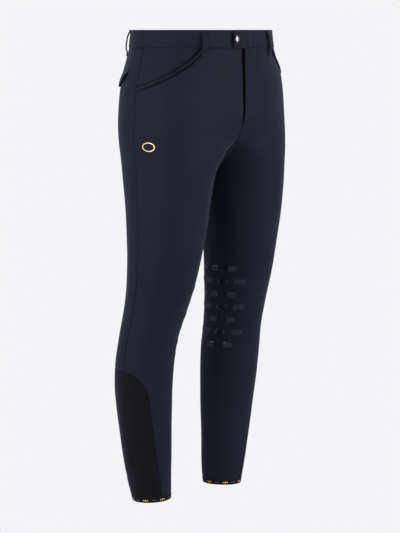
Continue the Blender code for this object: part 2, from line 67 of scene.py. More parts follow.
import bpy
import numpy as np
from bpy.props import FloatProperty, FloatVectorProperty, IntProperty, PointerProperty
from bpy.types import Operator, Panel, PropertyGroup
from mathutils import Matrix, Vector
from mathutils.kdtree import KDTree

MM = 0.001
SIDE_NAMES = {-1: "right", 1: "left"}

# Heights of the garment's lines
WAIST_SEAM = -35.0
BACK_RISE_START = -125.0
FRONT_RISE_START = -150.0
HIP_ROW = -165.0
CROTCH = -252.0
THIGH_START = -300.0
ABOVE_CALF_ROW = -625.0
CALF_TOP = -665.0
CALF_CORNER = -692.0
HEM = -933.5
TAPE_HEIGHT = 10.0
HEM_LINE = HEM + TAPE_HEIGHT

# How far the hem line leans from level, and the height from which the cloth leans with it
HEM_OUTER_DROP = 1.8
HEM_FRONT_RISE = 1.0
HEM_TILT_START = -800.0

# How far the panels run on under the waistband, the tab and the tape
TUCK = 1.4
TAB_TUCK = 3.6
HEM_TUCK = 1.8

# The crotch: how far round its seam curves, how far the legs reach towards each other below it and
# over what height, and how its turn is softened
CROTCH_REACH = 0.16
CROTCH_WEB = 12.0
CROTCH_WEB_HEIGHT = 34.0
CROTCH_SOFT = 30.0
CROTCH_SOFT_FROM = 0.07
CROTCH_SOFT_POWER = 1.2
CROTCH_SOFT_FADE = (0.34, 0.2)

# Where the two halves keep to the middle to meet, and how far they run on past it, in rounds
CENTRE_HOLD = 0.03
CENTRE_LAP = 0.0007

# The fullness at the inner front of the thigh
SWELL = 6.5
SWELL_ROUND = 0.12
SWELL_WIDTH = 0.065
SWELL_HEIGHT = -240.0
SWELL_ABOVE = 24.0
SWELL_BELOW = 21.0

# How far round the upper corners of the calf insert lie
CALF_CORNER_FRONT = 0.377
CALF_CORNER_BACK = 0.79

# Layers of cloth, and how far their outer faces stand off the surface
CLOTH = 1.3
STRETCH_CLOTH = 1.1
SEAM_GAP = 0.3
TAPE = 1.6
TAPE_OUT = 0.2
WAISTBAND = 2.4
WAISTBAND_OUT = 1.2
WAISTBAND_CROWN = 0.3
WAIST_ROLL = 1.7
WAIST_ROLL_HEIGHT = 2.8

# The tab, and the hollow that its end presses into the right waistband, which is also painted dark as
# shade
TAB_OUT = WAISTBAND_OUT + WAISTBAND + SEAM_GAP
TAB_RAMP = (0.012, 0.055)
TAB_PAST_CENTRE = 31.5
TAB_CORNER = 9.0
TAB_FURROW = 2.4
TAB_FURROW_OFF = 2.4
TAB_FURROW_WIDTH = 4.2
TAB_FURROW_ROUND = 0.9
TAB_SHADE = 0.92

BUTTON_FROM_CENTRE = 25.0
BUTTON_RADIUS = 6.9
BUTTON_HEIGHT = 2.6

# The fly's outer layer
FLY_LAYER = 1.2
FLY_WIDTH = 31.0
FLY_OVERHANG = 1.4
FLY_FOOT = -178.0
FLY_CURVE = 42.0
FLY_STITCH = 28.0
FLY_FOLD = 13.7

# The hollow beside the fly's folded edge, which is also painted dark as shade on the right front. How
# far off and how wide it is are given at its foot, each with what it grows by up to FLY_FURROW_GROWS
# above that.
FLY_FURROW = 4.6
FLY_FURROW_OFF = (1.6, 1.4)
FLY_FURROW_WIDTH = (2.4, 2.3)
FLY_FURROW_GROWS = 120.0
FLY_FURROW_FADE = (-4.0, 18.0)

# The mouth of each front pocket, and the shadow below its rolled edge, which is painted and sunk a
# little
POCKET_WIDTH = 122.0
POCKET_DROP = 77.0
POCKET_POWER = 1.48
POCKET_DIP = 4.2
MOUTH_SHADE_AT = 1.040
MOUTH_SHADE_WIDTH = 0.034
MOUTH_SINK = 1.3

# The facing inside the mouth
FACING_LAYER = 1.1
FACING_REACH = 1.10
FACING_SINK = (0.885, 0.955)
FACING_TUCK = 4.0
FACING_UNDER_BACK = 0.010

# The rolled edge of the mouth
PIPING_SPAN = (0.984, 1.026)
PIPING_TAPER = 0.22
PIPING_TURN = 225
PIPING_HEIGHT = 2.3

# The back pocket flap
FLAP_TOP = -68.0
FLAP_DROP = 43.0
FLAP_FROM = 0.565
FLAP_TO = 0.80
FLAP_LAYER = 1.3
FLAP_WELT = 0.28
FLAP_END = 0.51
FLAP_STAND_OFF = 4.4
FLAP_LIFT = 5.2

LOOP_WIDTH = 12.4
LOOP_LAYER = 1.9

OVAL_LENGTH = 28.0
OVAL_HEIGHT = 18.0
OVAL_LINE = 2.0
OVAL_LAYER = 0.7
OVAL_CENTRE_HEIGHT = -222.0
OVAL_FROM_SIDE_SEAM = 36.0


def table_of(kind, *rows):
    """A table whose rows are all of one kind."""
    return tuple(kind(*row) for row in rows)


# The torso on its own, which reaches down to the thigh
TorsoRow = namedtuple("TorsoRow", "height half_width front back front_power back_power")
TORSO = table_of(
    TorsoRow,
    (0, 154.5, 117, 114, 2.10, 2.10),
    (-18, 155.5, 118, 116, 2.12, 2.10),
    (-36, 158, 119, 119, 2.18, 2.10),
    (-60, 164, 119.5, 124, 2.33, 2.12),
    (-90, 173, 120, 127, 2.50, 2.15),
    (-130, 179, 120, 129, 2.60, 2.20),
    (-170, 182, 120, 129, 2.65, 2.20),
    (-210, 185, 119, 122, 2.65, 2.20),
    (-252, 185.5, 118, 112, 2.60, 2.20),
    (-350, 178, 112, 106, 2.40, 2.20),
)

# One leg, up into the torso. inner_back moves its inner side back.
LegRow = namedtuple("LegRow", "height centre_x centre_y half_width half_depth inner_back")
LEG = table_of(
    LegRow,
    (-130, 93.0, 6.0, 87.0, 118.0, 0.0),
    (-170, 95.5, 3.0, 87.5, 113.0, 0.0),
    (-220, 97.6, -4.0, 87.2, 105.0, 0.0),
    (-252, 98.6, -7.4, 86.5, 99.8, 0.0),
    (-300, 101.4, -9.2, 83.7, 92.0, 0.0),
    (-330, 103.0, -9.7, 81.3, 87.2, 0.0),
    (-360, 104.0, -9.3, 79.2, 83.3, 0.0),
    (-400, 104.4, -6.4, 75.5, 79.5, 0.0),
    (-450, 106.2, -1.8, 71.0, 74.0, 0.3),
    (-500, 108.5, 5.5, 66.0, 69.0, 0.4),
    (-550, 113.0, 16.5, 61.5, 63.5, 0.3),
    (-600, 118.5, 29.0, 58.3, 60.8, 0.8),
    (-650, 120.7, 37.8, 57.5, 61.0, 1.8),
    (-700, 120.8, 42.2, 56.5, 60.0, 0.9),
    (-750, 117.8, 43.4, 54.4, 56.4, 0.3),
    (-800, 114.2, 43.5, 50.9, 52.5, 0.0),
    (-850, 109.8, 43.4, 47.2, 48.7, 0.0),
    (-900, 104.6, 42.8, 43.1, 44.3, 0.0),
    (-945, 99.0, 40.6, 37.2, 38.0, 0.0),
)

# How far round the leg the two long edges of the calf insert lie
CalfEdge = namedtuple("CalfEdge", "height front back")
CALF_EDGES = table_of(
    CalfEdge,
    (CALF_CORNER, CALF_CORNER_FRONT, CALF_CORNER_BACK),
    (-712, 0.354, 0.800),
    (-740, 0.342, 0.799),
    (-780, 0.329, 0.793),
    (-825, 0.317, 0.785),
    (-870, 0.304, 0.777),
    (-920, 0.290, 0.768),
    (-945, 0.283, 0.764),
)

# How far a belt loop stands off, from its top end to its foot
LoopRow = namedtuple("LoopRow", "height out")
LOOP_PROFILE = table_of(
    LoopRow,
    (0.0, 3.0),
    (-3.0, 3.1),
    (-9.0, 5.6),
    (-16.0, 7.0),
    (-24.0, 7.4),
    (-32.0, 7.2),
    (-39.0, 5.6),
    (-44.0, 2.6),
    (-48.0, 2.0),
    (-51.0, 2.0),
)

LoopPlace = namedtuple("LoopPlace", "name side round")
LOOP_PLACES = table_of(
    LoopPlace,
    ("belt_loop_front_right", -1, 0.2395),
    ("belt_loop_front_left", 1, 0.201),
    ("belt_loop_back_right", -1, 0.665),
    ("belt_loop_back_left", 1, 0.665),
    ("belt_loop_centre_back", 1, 1.0),
)

# The soft folds of a close fit. A crease lies at a place round the leg and a height, runs for its
# length at a slant in degrees, level at 0, and bends up (or down) at its ends.
Crease = namedtuple("Crease", "side round height length width depth slant bend")
CREASES = table_of(
    Crease,
    (1, 0.036, -234, 66, 9.0, 2.2, 84, 0),
    (-1, 0.07, -236, 84, 8.0, 0.9, 34, 5),
    (-1, 0.10, -268, 70, 9.0, 0.6, 22, 3),
    (-1, 0.05, -205, 46, 6.0, 0.5, 48, 2),
    (1, 0.08, -232, 92, 9.0, 1.0, 30, 6),
    (1, 0.11, -262, 64, 8.0, 0.7, 18, 4),
    (1, 0.04, -196, 40, 6.0, 0.5, 52, 2),
    (-1, 0.86, -268, 118, 10.0, 1.7, -14, 9),
    (-1, 0.90, -292, 74, 8.0, 1.1, -20, 6),
    (1, 0.85, -264, 128, 11.0, 1.6, -12, 10),
    (1, 0.90, -296, 62, 7.0, 1.0, -24, 5),
    (-1, 0.76, -512, 92, 9.0, 1.9, 7, -7),
    (-1, 0.71, -534, 66, 7.5, 1.3, -9, -4),
    (-1, 0.80, -553, 58, 8.0, 1.1, 12, -4),
    (1, 0.74, -508, 86, 9.0, 2.0, -6, -7),
    (1, 0.79, -529, 70, 8.0, 1.4, 10, -5),
    (1, 0.70, -549, 50, 7.0, 0.9, -13, -3),
    (-1, 0.22, -560, 64, 12.0, 0.5, 8, 6),
    (1, 0.24, -566, 58, 12.0, 0.5, -7, 6),
    (-1, 0.62, -884, 44, 7.0, 0.6, 10, 3),
    (1, 0.66, -892, 38, 6.0, 0.6, -12, 3),
)

# Gentle unevenness of the whole cloth: how fast each wave runs along X, Y and Z, per millimetre
Wave = namedtuple("Wave", "x y z phase height")
WAVES = table_of(
    Wave,
    (0.051, 0.038, 0.047, 0.4, 0.13),
    (-0.043, 0.061, 0.036, 2.1, 0.12),
    (0.067, -0.029, 0.071, 4.4, 0.09),
    (0.022, 0.081, -0.058, 5.2, 0.08),
)

# How the cloth sinks into a seam and the small puckers beside it, and how wide and how strong the
# painted shade is along each seam and just below the waistband
SEAM_ROLL = 1.15
SEAM_ROLL_WIDTH = 2.8
PUCKER = 0.10
PUCKER_REACH = 6.0
SEAM_SHADE_WIDTH = 1.9
WAIST_SHADE = 0.85

# The seam inside the leg is pressed flat. It counts as this much further from the edge.
PLAIN_SEAM = 2.2

# Distances from a panel's edge, in millimetres, at which its mesh has extra rows and columns
EDGE_STEPS = (0.5, 1.1, 1.9, 3.0, 4.6, 7.0)
MESH_STEP = 4.6

# Silicone pads inside each knee
GripRow = namedtuple("GripRow", "height count")
GRIP_ROWS = table_of(
    GripRow,
    (-476, 3),
    (-503, 4),
    (-530, 3),
    (-557, 4),
    (-584, 3),
    (-611, 4),
    (-638, 3),
)
GRIP_LENGTH = 25.0
GRIP_HEIGHT = 11.0
GRIP_PITCH = 36.0
GRIP_THICK = 0.55
GRIP_MIDDLE = 0.005


# --------------------------------------------------------------------------- settings


class BreechesCloth(PropertyGroup):
    """Colours and surface of the cloths."""

    navy: FloatVectorProperty(
        name="Navy", description="Colour of the main cloth",
        subtype="COLOR", size=3, min=0, max=1, default=(0.0094, 0.0098, 0.0228),
    )
    calf: FloatVectorProperty(
        name="Calf cloth", description="Colour of the stretch insert at the calf",
        subtype="COLOR", size=3, min=0, max=1, default=(0.0046, 0.0034, 0.0042),
    )
    weave_pitch: FloatProperty(
        name="Weave pitch", description="Distance between the diagonal ribs of the weave",
        subtype="DISTANCE", unit="LENGTH", min=0.0002, max=0.005, default=0.0008,
    )
    crease_share: FloatProperty(
        name="Creases", description="How deep the creases are, as a share of their set depth",
        subtype="FACTOR", min=0, max=2, default=1.0,
    )


class BreechesTrims(PropertyGroup):
    """Sewing, metal, prints and knee grip."""

    stitch_pitch: FloatProperty(
        name="Stitch pitch", description="Distance from one stitch to the next",
        subtype="DISTANCE", unit="LENGTH", min=0.001, max=0.01, default=0.0030,
    )
    thread_width: FloatProperty(
        name="Thread", description="Width of the sewing thread",
        subtype="DISTANCE", unit="LENGTH", min=0.0002, max=0.001, default=0.00046,
    )
    thread: FloatVectorProperty(
        name="Thread colour", description="Colour of the sewing thread",
        subtype="COLOR", size=3, min=0, max=1, default=(0.0085, 0.0088, 0.0200),
    )
    gold: FloatVectorProperty(
        name="Gold", description="Colour of the ring on the thigh and of the marks on the hem tape",
        subtype="COLOR", size=3, min=0, max=1, default=(0.72, 0.53, 0.24),
    )
    grip: FloatVectorProperty(
        name="Knee grip", description="Colour of the silicone pads",
        subtype="COLOR", size=3, min=0, max=1, default=(0.011, 0.012, 0.028),
    )
    button_sides: IntProperty(
        name="Button steps", description="Steps round the button", min=24, max=256, default=96
    )


class BreechesStage(PropertyGroup):
    """Camera, light and backdrop."""

    distance: FloatProperty(
        name="Camera distance", description="Level distance from the camera to the garment",
        subtype="DISTANCE", unit="LENGTH", min=1, max=20, default=3.8,
    )
    azimuth: FloatProperty(
        name="Camera azimuth", description="Direction the garment is seen from, 0 from the front",
        subtype="ANGLE", unit="ROTATION", default=math.radians(-45),
    )
    lens: FloatProperty(
        name="Lens", description="Focal length of the camera, in millimetres",
        min=20, max=400, default=129.208255,
    )
    tilt: FloatProperty(
        name="Tilt", description="How far the camera looks down",
        subtype="ANGLE", unit="ROTATION", default=math.radians(7.050931),
    )
    pan: FloatProperty(
        name="Pan", description="How far the camera turns to its left of the garment's axis",
        subtype="ANGLE", unit="ROTATION", default=math.radians(0.0481477),
    )
    floor: FloatProperty(
        name="Floor", description="Height of the floor below the top of the waistband",
        subtype="DISTANCE", unit="LENGTH", default=-1.16,
    )
    backdrop: FloatVectorProperty(
        name="Backdrop", description="Colour of the floor and backdrop as they are seen",
        subtype="COLOR", size=3, min=0, max=1, default=(0.905, 0.905, 0.922),
    )
    ambient: FloatProperty(
        name="Ambient light", description="Strength of the light from all round",
        min=0, max=5, default=0.46,
    )
    lamps: FloatProperty(
        name="Lamps", description="Strength of the lamps, as a share of their set strengths",
        subtype="FACTOR", min=0, max=10, default=1.0,
    )


# The lamps stand round the garment. Azimuth and elevation are in degrees, from the camera's own
# azimuth, and power in watts.
Lamp = namedtuple("Lamp", "name azimuth elevation power")
LAMPS = table_of(
    Lamp,
    ("Left lamp", -76, 10, 11.0),
    ("Front left lamp", -40, 12, 39.0),
    ("Front right lamp", 48, 12, 32.0),
    ("Right lamp", 80, 10, 15.0),
)
LAMP_DISTANCE = 2.6
LAMP_SIZE = 1.4
LAMPS_LOOK_AT = -0.45


# --------------------------------------------------------------------------- the surface


def table_at(rows, heights):
    """Every column of a table at each height, by a cubic through its rows, which run downwards."""
    known = np.array(rows, float)
    levels = known[:, 0]
    heights = np.clip(heights, levels[-1], levels[0])
    first = np.clip(np.searchsorted(-levels, -heights, side="right") - 1, 0, len(levels) - 2)
    above = np.maximum(np.arange(len(levels)) - 1, 0)
    below = np.minimum(np.arange(len(levels)) + 1, len(levels) - 1)
    slopes = (known[below] - known[above]) / (levels[below] - levels[above])[:, None]
    span = (levels[first + 1] - levels[first])[:, None]
    t = (heights - levels[first])[:, None] / span
    values = (
        known[first] * (2 * t**3 - 3 * t**2 + 1)
        + slopes[first] * span * (t**3 - 2 * t**2 + t)
        + known[first + 1] * (3 * t**2 - 2 * t**3)
        + slopes[first + 1] * span * (t**3 - t**2)
    )
    return dict(zip(rows[0]._fields, values.T))


def one(value):
    """A single number as an array, which is what the surface functions take."""
    return np.full(1, float(value))


def ease(low, high, value):
    """0 below low, 1 above high, and smooth between."""
    t = np.clip((value - low) / (high - low), 0.0, 1.0)
    return t * t * (3 - 2 * t)


def torso_section(rounds, heights):
    """X and Y on the half torso: a squared ellipse, as deep in front and behind as the table says."""
    row = table_at(TORSO, heights)
    angle = np.pi * rounds
    ahead = np.cos(angle) > 0
    depth = np.where(ahead, row["front"], row["back"])
    power = np.where(ahead, row["front_power"], row["back_power"])
    across = np.abs(np.sin(angle) / row["half_width"]) ** power
    along = np.abs(np.cos(angle) / depth) ** power
    reach = (across + along) ** (-1 / power)
    return np.array([reach * np.sin(angle), -reach * np.cos(angle)])


# Below this width a curve isn't softened
LEAST_WIDTH = 0.004


def softened(twice_integrated, sharp, where, width):
    """A curve's mean under a triangle of that half width, or the curve itself where it is 0."""
    wide = np.maximum(width, LEAST_WIDTH)
    mean = (
        twice_integrated(where + wide) - 2 * twice_integrated(where)
        + twice_integrated(where - wide)
    ) / wide**2
    return np.where(width > LEAST_WIDTH, mean, sharp(where))


def rise(down):
    """The crotch seam's quarter circle: 0 at its start, 1 at the crotch and below it."""
    down = np.clip(down, 0.0, 1.0)
    return 1 - np.sqrt(1 - down * down)


def rise_twice_integrated(down):
    on = np.clip(down, 0.0, 1.0)
    arch = (1 - on * on) ** 1.5 / 3 - on * np.arcsin(on) - np.sqrt(1 - on * on)
    past = np.maximum(down - 1, 0.0)
    return on * on / 2 + arch / 2 + 1 / 3 + (1 - math.pi / 4) * past + past**2 / 2


def web(below):
    """How far the leg still reaches towards the other one: 1 at the crotch, 0 well below it."""
    return (1 - np.clip(below, 0.0, 1.0)) ** 3


def web_twice_integrated(below):
    on, past = np.clip(below, 0.0, 1.0), np.maximum(below - 1, 0.0)
    above = np.minimum(below, 0.0)
    return above**2 / 2 + on / 4 - (1 - (1 - on) ** 5) / 20 + past / 4


def from_inner_leg(rounds):
    """How far round from the centre or inner leg, to either side of it."""
    return np.minimum(np.abs(rounds), np.abs(1 - rounds))


def crotch_softness(rounds):
    """How far up and down the cloth beside the crotch seam is rounded, in millimetres."""
    inner = from_inner_leg(rounds)
    grown = np.clip(inner / CROTCH_SOFT_FROM, 0, 1) ** CROTCH_SOFT_POWER
    return CROTCH_SOFT * grown * ease(*CROTCH_SOFT_FADE, inner)


def leg_section(rounds, heights):
    """X and Y on the leg's ring, which swells towards the other leg just below the crotch."""
    row = table_at(LEG, heights)
    angle = 2 * np.pi * rounds
    inward = np.cos(angle)
    below = (CROTCH - heights) / CROTCH_WEB_HEIGHT
    width = crotch_softness(rounds) / CROTCH_WEB_HEIGHT
    reach = CROTCH_WEB * softened(web_twice_integrated, web, below, width)
    x = row["centre_x"] - row["half_width"] * inward - reach * np.maximum(inward, 0.0) ** 4
    y = row["centre_y"] - row["half_depth"] * np.sin(angle) + row["inner_back"] * inward
    return np.array([x, y])


# From the front of the leg round to its back
BEHIND = (0.2, 0.8)


def leg_share(rounds, heights):
    """0 on the torso and 1 on the leg. At the inner leg it draws the round crotch seam."""
    behind = ease(*BEHIND, rounds)
    start = FRONT_RISE_START * (1 - behind) + BACK_RISE_START * behind
    down = (start - heights) / (start - CROTCH)
    width = crotch_softness(rounds) / (start - CROTCH)
    outward = ease(0.0, CROTCH_REACH, np.minimum(rounds, 1 - rounds))
    round_rise = softened(rise_twice_integrated, rise, down, width)
    soft_rise = ease(0.0, 1.0, (start - heights) / (start - THIGH_START))
    return round_rise * (1 - outward) + soft_rise * outward


def thigh_swell(rounds, heights):
    """The fullness of the cloth at the inner front of the thigh, beside the crotch seam."""
    level = np.where(heights > SWELL_HEIGHT, SWELL_ABOVE, SWELL_BELOW)
    off = ((heights - SWELL_HEIGHT) / level) ** 2 + ((rounds - SWELL_ROUND) / SWELL_WIDTH) ** 2
    return SWELL * np.exp(-off)


def surface_points(rounds, heights):
    """Points on the wearer's left, in millimetres."""
    share = leg_share(rounds, heights)
    x, y = torso_section(rounds, heights) * (1 - share) + leg_section(rounds, heights) * share
    return np.column_stack([x, y, heights])


def surface_normals(rounds, heights):
    """The way out of the cloth on the wearer's left."""
    behind, ahead = (surface_points(rounds + step, heights) for step in (0.004, -0.004))
    above, below = (surface_points(rounds, heights + step) for step in (1.0, -1.0))
    normals = np.cross(below - above, behind - ahead)
    return normals / np.linalg.norm(normals, axis=1)[:, None]


# Where arcs are worked out, with the rounds at which the front of a half is looked for
ARC_STEP = 5.0
ARC_HEIGHTS = np.arange(5.0, -946.0, -ARC_STEP)
ARC_ROUNDS = np.linspace(-0.25, 1.25, 601)
FRONT_ROUNDS = (-0.25, 0.4)


def arc_table():
    """Arcs from the side seam, a row for each of ARC_HEIGHTS and a column for each of ARC_ROUNDS."""
    heights, rounds = (a.ravel() for a in np.meshgrid(ARC_HEIGHTS, ARC_ROUNDS, indexing="ij"))
    points = surface_points(rounds, heights).reshape(len(ARC_HEIGHTS), len(ARC_ROUNDS), 3)
    steps = np.linalg.norm(np.diff(points, axis=1), axis=2)
    gone = np.concatenate([np.zeros((len(ARC_HEIGHTS), 1)), np.cumsum(steps, axis=1)], axis=1)
    side_seam = int(np.argmin(np.abs(ARC_ROUNDS - 0.5)))
    return gone[:, side_seam][:, None] - gone


ARCS = arc_table()


def arc_at(rounds, heights):
    """How far each place is from the side seam along the cloth."""
    row = np.clip((ARC_HEIGHTS[0] - heights) / ARC_STEP, 0, len(ARC_HEIGHTS) - 1.001)
    column = (rounds - ARC_ROUNDS[0]) / (ARC_ROUNDS[1] - ARC_ROUNDS[0])
    column = np.clip(column, 0, len(ARC_ROUNDS) - 1.001)
    i, j = row.astype(int), column.astype(int)
    down, along = row - i, column - j
    upper = ARCS[i, j] * (1 - along) + ARCS[i, j + 1] * along
    lower = ARCS[i + 1, j] * (1 - along) + ARCS[i + 1, j + 1] * along
    return upper * (1 - down) + lower * down


def halved(low, high, shape, short, steps):
    """Rounds between low and high at which short(rounds) turns false."""
    low, high = np.full(shape, low), np.full(shape, high)
    for _ in range(steps):
        middle = (low + high) / 2
        before = short(middle)
        low, high = np.where(before, middle, low), np.where(before, high, middle)
    return (low + high) / 2


def round_at_arc(arcs, heights):
    """Where the cloth has run that far from the side seam."""
    arcs, heights = np.broadcast_arrays(np.asarray(arcs, float), np.asarray(heights, float))
    ends = ARC_ROUNDS[0], ARC_ROUNDS[-1]
    return halved(*ends, arcs.shape, lambda rounds: arc_at(rounds, heights) > arcs, 24)


def round_at_x(heights, x):
    """Where the front of the left half is that far from the centre line, to either side."""
    heights = np.atleast_1d(np.asarray(heights, float))
    return halved(
        *FRONT_ROUNDS, heights.shape, lambda rounds: surface_points(rounds, heights)[:, 0] < x, 30
    )


# How much of a ridge stands along each side of a crease
CREASE_RIDGE = 0.9


def crease_fall(side, rounds, heights, arcs):
    """How far the creases move the cloth out, which is mostly in."""
    moved = np.zeros(len(rounds))
    for crease in CREASES:
        if crease.side != side:
            continue
        level = one(crease.height)
        middle, start, end = (arc_at(one(place), level)[0] for place in (crease.round, 0, 1))
        girth = start - end
        off = arcs - middle
        off = np.where(heights < CROTCH, (off + girth / 2) % girth - girth / 2, off)
        slant = math.radians(crease.slant)
        up = heights - crease.height
        along = (off * math.cos(slant) + up * math.sin(slant)) / (crease.length / 2)
        across = up * math.cos(slant) - off * math.sin(slant) - crease.bend * along**2
        across = across / crease.width
        taper = np.clip(1 - along**2, 0, 1) ** 2
        moved -= crease.depth * taper * (1 - CREASE_RIDGE * across**2) * np.exp(-(across**2))
    return moved * bpy.context.scene.breeches_cloth.crease_share


def fly_furrow(side, points):
    """Where the front sinks beside the fly's folded edge, right of the centre line: 1 at the
    bottom of the furrow."""
    x, y, z = points.T
    grown = ease(FLY_FOOT, FLY_FOOT + FLY_FURROW_GROWS, z)
    middle, wider = FLY_FURROW_OFF
    width, widened = FLY_FURROW_WIDTH
    off = (-side * x - middle - wider * grown) / (width + widened * grown)
    on = ease(WAIST_SEAM + 2, WAIST_SEAM - 3, z) * ease(*FLY_FURROW_FADE, z - FLY_FOOT) * (y < 0)
    return np.exp(-np.abs(off) ** 3) * on


def tab_furrow(points):
    """Where the right waistband sinks round the end of the tab, below its lower corner too."""
    x, y, z = points.T
    corner = np.clip((WAIST_SEAM + TAB_CORNER - z) / TAB_CORNER, 0.0, 1.0)
    end = TAB_PAST_CENTRE - TAB_CORNER * (1 - np.sqrt(1 - (TAB_FURROW_ROUND * corner) ** 2))
    off = (x - end - TAB_FURROW_OFF) / TAB_FURROW_WIDTH
    return np.exp(-np.abs(off) ** 3) * ease(WAIST_SEAM - 3, WAIST_SEAM + 1, z) * (y < 0)


def cloth_places(side, rounds, heights, out=0.0):
    """Points on the creased cloth of one side, in metres, and the way out at each. Beside the
    centre seams the way out keeps to the middle, so that the two halves meet."""
    rounds, heights = np.asarray(rounds, float), np.asarray(heights, float)
    points, normals = surface_points(rounds, heights), surface_normals(rounds, heights)
    meets = ease(CENTRE_HOLD, 0.0, from_inner_leg(rounds)) * ease(CROTCH - 5, CROTCH - 1, heights)
    normals = normals * (1 - np.outer(meets, (1, 0, 0)))
    normals = normals / np.linalg.norm(normals, axis=1)[:, None]
    moved = crease_fall(side, rounds, heights, arc_at(rounds, heights))
    moved += thigh_swell(rounds, heights)
    moved -= FLY_FURROW * fly_furrow(side, points)
    if side < 0:
        moved -= TAB_FURROW * tab_furrow(points)
    for wave in WAVES:
        turns = points * (side, 1, 1) @ np.array([wave.x, wave.y, wave.z])
        moved += wave.height * np.sin(turns + wave.phase)
    points = points + normals * (moved + out)[:, None]
    return points * (side * MM, MM, MM), normals * (side, 1, 1)


def hem_lean(rounds, heights):
    """How far the hem line leans up from its mean height, and the cloth near it."""
    angle = 2 * np.pi * rounds
    lean = HEM_OUTER_DROP * np.cos(angle) + HEM_FRONT_RISE * np.sin(angle)
    return lean * (1 - ease(HEM, HEM_TILT_START, heights))


def tilted(rounds, heights):
    """Heights near the hem, leaned to keep their distance from the hem line."""
    return heights + hem_lean(rounds, heights)


# --------------------------------------------------------------------------- Blender tools


def select_only(*pieces):
    if bpy.context.object and bpy.context.object.mode != "OBJECT":
        bpy.ops.object.mode_set(mode="OBJECT")
    bpy.ops.object.select_all(action="DESELECT")
    for piece in pieces:
        piece.select_set(True)
    bpy.context.view_layer.objects.active = pieces[0]


def apply_modifier(piece, kind, **values):
    select_only(piece)
    modifier = piece.modifiers.new(kind.title(), kind)
    for name, value in values.items():
        setattr(modifier, name, value)
    bpy.ops.object.modifier_apply(modifier=modifier.name)


def in_edit_mode(piece, *steps):
    """Runs edit-mode steps on all of a piece's mesh."""
    select_only(piece)
    bpy.ops.object.mode_set(mode="EDIT")
    bpy.ops.mesh.select_all(action="SELECT")
    for step in steps:
        step()
    bpy.ops.object.mode_set(mode="OBJECT")


def smooth(piece, degrees=45):
    select_only(piece)
    bpy.ops.object.shade_smooth_by_angle(angle=math.radians(degrees))


def vertex_array(piece):
    values = np.zeros(len(piece.data.vertices) * 3)
    piece.data.vertices.foreach_get("co", values)
    return values.reshape(-1, 3)


def set_vertices(piece, points):
    piece.data.vertices.foreach_set("co", np.asarray(points, float).ravel())
    piece.data.update()


def new_piece(name, points, faces, edges=()):
    mesh = bpy.data.meshes.new(name)
    mesh.from_pydata([tuple(p) for p in points], edges, faces)
    piece = bpy.data.objects.new(name, mesh)
    bpy.context.scene.collection.objects.link(piece)
    return piece


def new_primitive(add, **values):
    """One of Blender's primitives, with nothing else selected."""
    bpy.ops.object.select_all(action="DESELECT")
    add(**values)
    return bpy.context.object


def settle(piece, node_name):
    """Fixes a finished piece to the garment, in place of the solid it stands for."""
    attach(piece, "root")
    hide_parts(node_name)


def joined(name, pieces):
    """One piece made of several."""
    select_only(*pieces)
    bpy.ops.object.join()
    pieces[0].name = name
    pieces[0].data.name = name
    return pieces[0]


# --------------------------------------------------------------------------- cloth sheets

# How fast the puckers run along X, Y and Z, per metre, and the thin rim that they leave plain
PUCKER_TURNS = (410.0, 530.0, 690.0)
PUCKER_FROM = 0.3

# The seam inside the leg fades in below the crotch, at these rounds from it
INNER_SEAM_ROUNDS = (0.08, 0.02)
INNER_SEAM_FADE = 20.0

OUTLINE_STEP = 0.0008
# How far below the waist seam the painted shade under the waistband reaches
WAIST_SHADE_HEIGHT = 2.2


def steps_between(first, last, length, step=MESH_STEP, fine_first=True, fine_last=True):
    """Values from first to last over that many millimetres, closer together near either end."""
    near = [distance for distance in EDGE_STEPS if distance < length / 2.5]
    low = [0.0] + (near if fine_first else [])
    high = [length] + [length - distance for distance in (near if fine_last else [])]
    count = max(1, round((min(high) - max(low)) / step))
    middle = np.linspace(max(low), min(high), count + 1)[1:-1]
    shares = np.array(sorted(low) + list(middle) + sorted(high)) / length
    return first + (last - first) * shares


def row_of(rounds, heights):
    """A row of places, as an array with a (round, height) pair in each line."""
    rounds, heights = np.broadcast_arrays(np.asarray(rounds, float), np.asarray(heights, float))
    return np.column_stack([rounds, heights])


def blended_rows(upper, lower, shares):
    return [upper + (lower - upper) * share for share in shares]


def grid_faces(rows):
    """Quads between rows, where a row may be shorter than the one above it."""
    first = np.concatenate([[0], np.cumsum([len(row) for row in rows])])
    faces = []
    for i in range(len(rows) - 1):
        for j in range(min(len(rows[i]), len(rows[i + 1])) - 1):
            a, b = int(first[i] + j), int(first[i + 1] + j)
            faces.append((a, b, b + 1, a + 1))
    return faces


def turned_outwards(faces, points, normals):
    """The faces, all reversed if they face inwards."""
    corners = points[np.array(faces)]
    ways = np.cross(corners[:, 2] - corners[:, 0], corners[:, 3] - corners[:, 1])
    if (ways * normals[np.array(faces)[:, 0]]).sum() > 0:
        return faces
    return [(face[0],) + tuple(reversed(face[1:])) for face in faces]


def outline_of(faces, rows, ring):
    """The edges that only one face has, but for the two ends of a ring, which meet."""
    edges = {(face[k], face[(k + 1) % 4]) for face in faces for k in range(4)}
    outline = [edge for edge in edges if (edge[1], edge[0]) not in edges]
    if ring:
        last_row = sum(len(row) for row in rows[:-1])
        outline = [e for e in outline if max(e) < len(rows[0]) or min(e) >= last_row]
    return outline


def distances_to(points, outline):
    """How far each point is from the outline's edges, in millimetres."""
    samples = []
    for a, b in outline:
        count = max(1, int(np.linalg.norm(points[b] - points[a]) / OUTLINE_STEP))
        samples.extend(points[a] + (points[b] - points[a]) * k / count for k in range(count))
    tree = KDTree(len(samples))
    for number, sample in enumerate(samples):
        tree.insert(sample, number)
    tree.balance()
    return np.array([tree.find(p)[2] for p in points]) / MM


def plain_seam(rounds, heights):
    """What the pressed seam inside the leg adds to a place's distance from the edge."""
    near = ease(*INNER_SEAM_ROUNDS, from_inner_leg(rounds))
    return PLAIN_SEAM * near * ease(CROTCH, CROTCH - INNER_SEAM_FADE, heights)


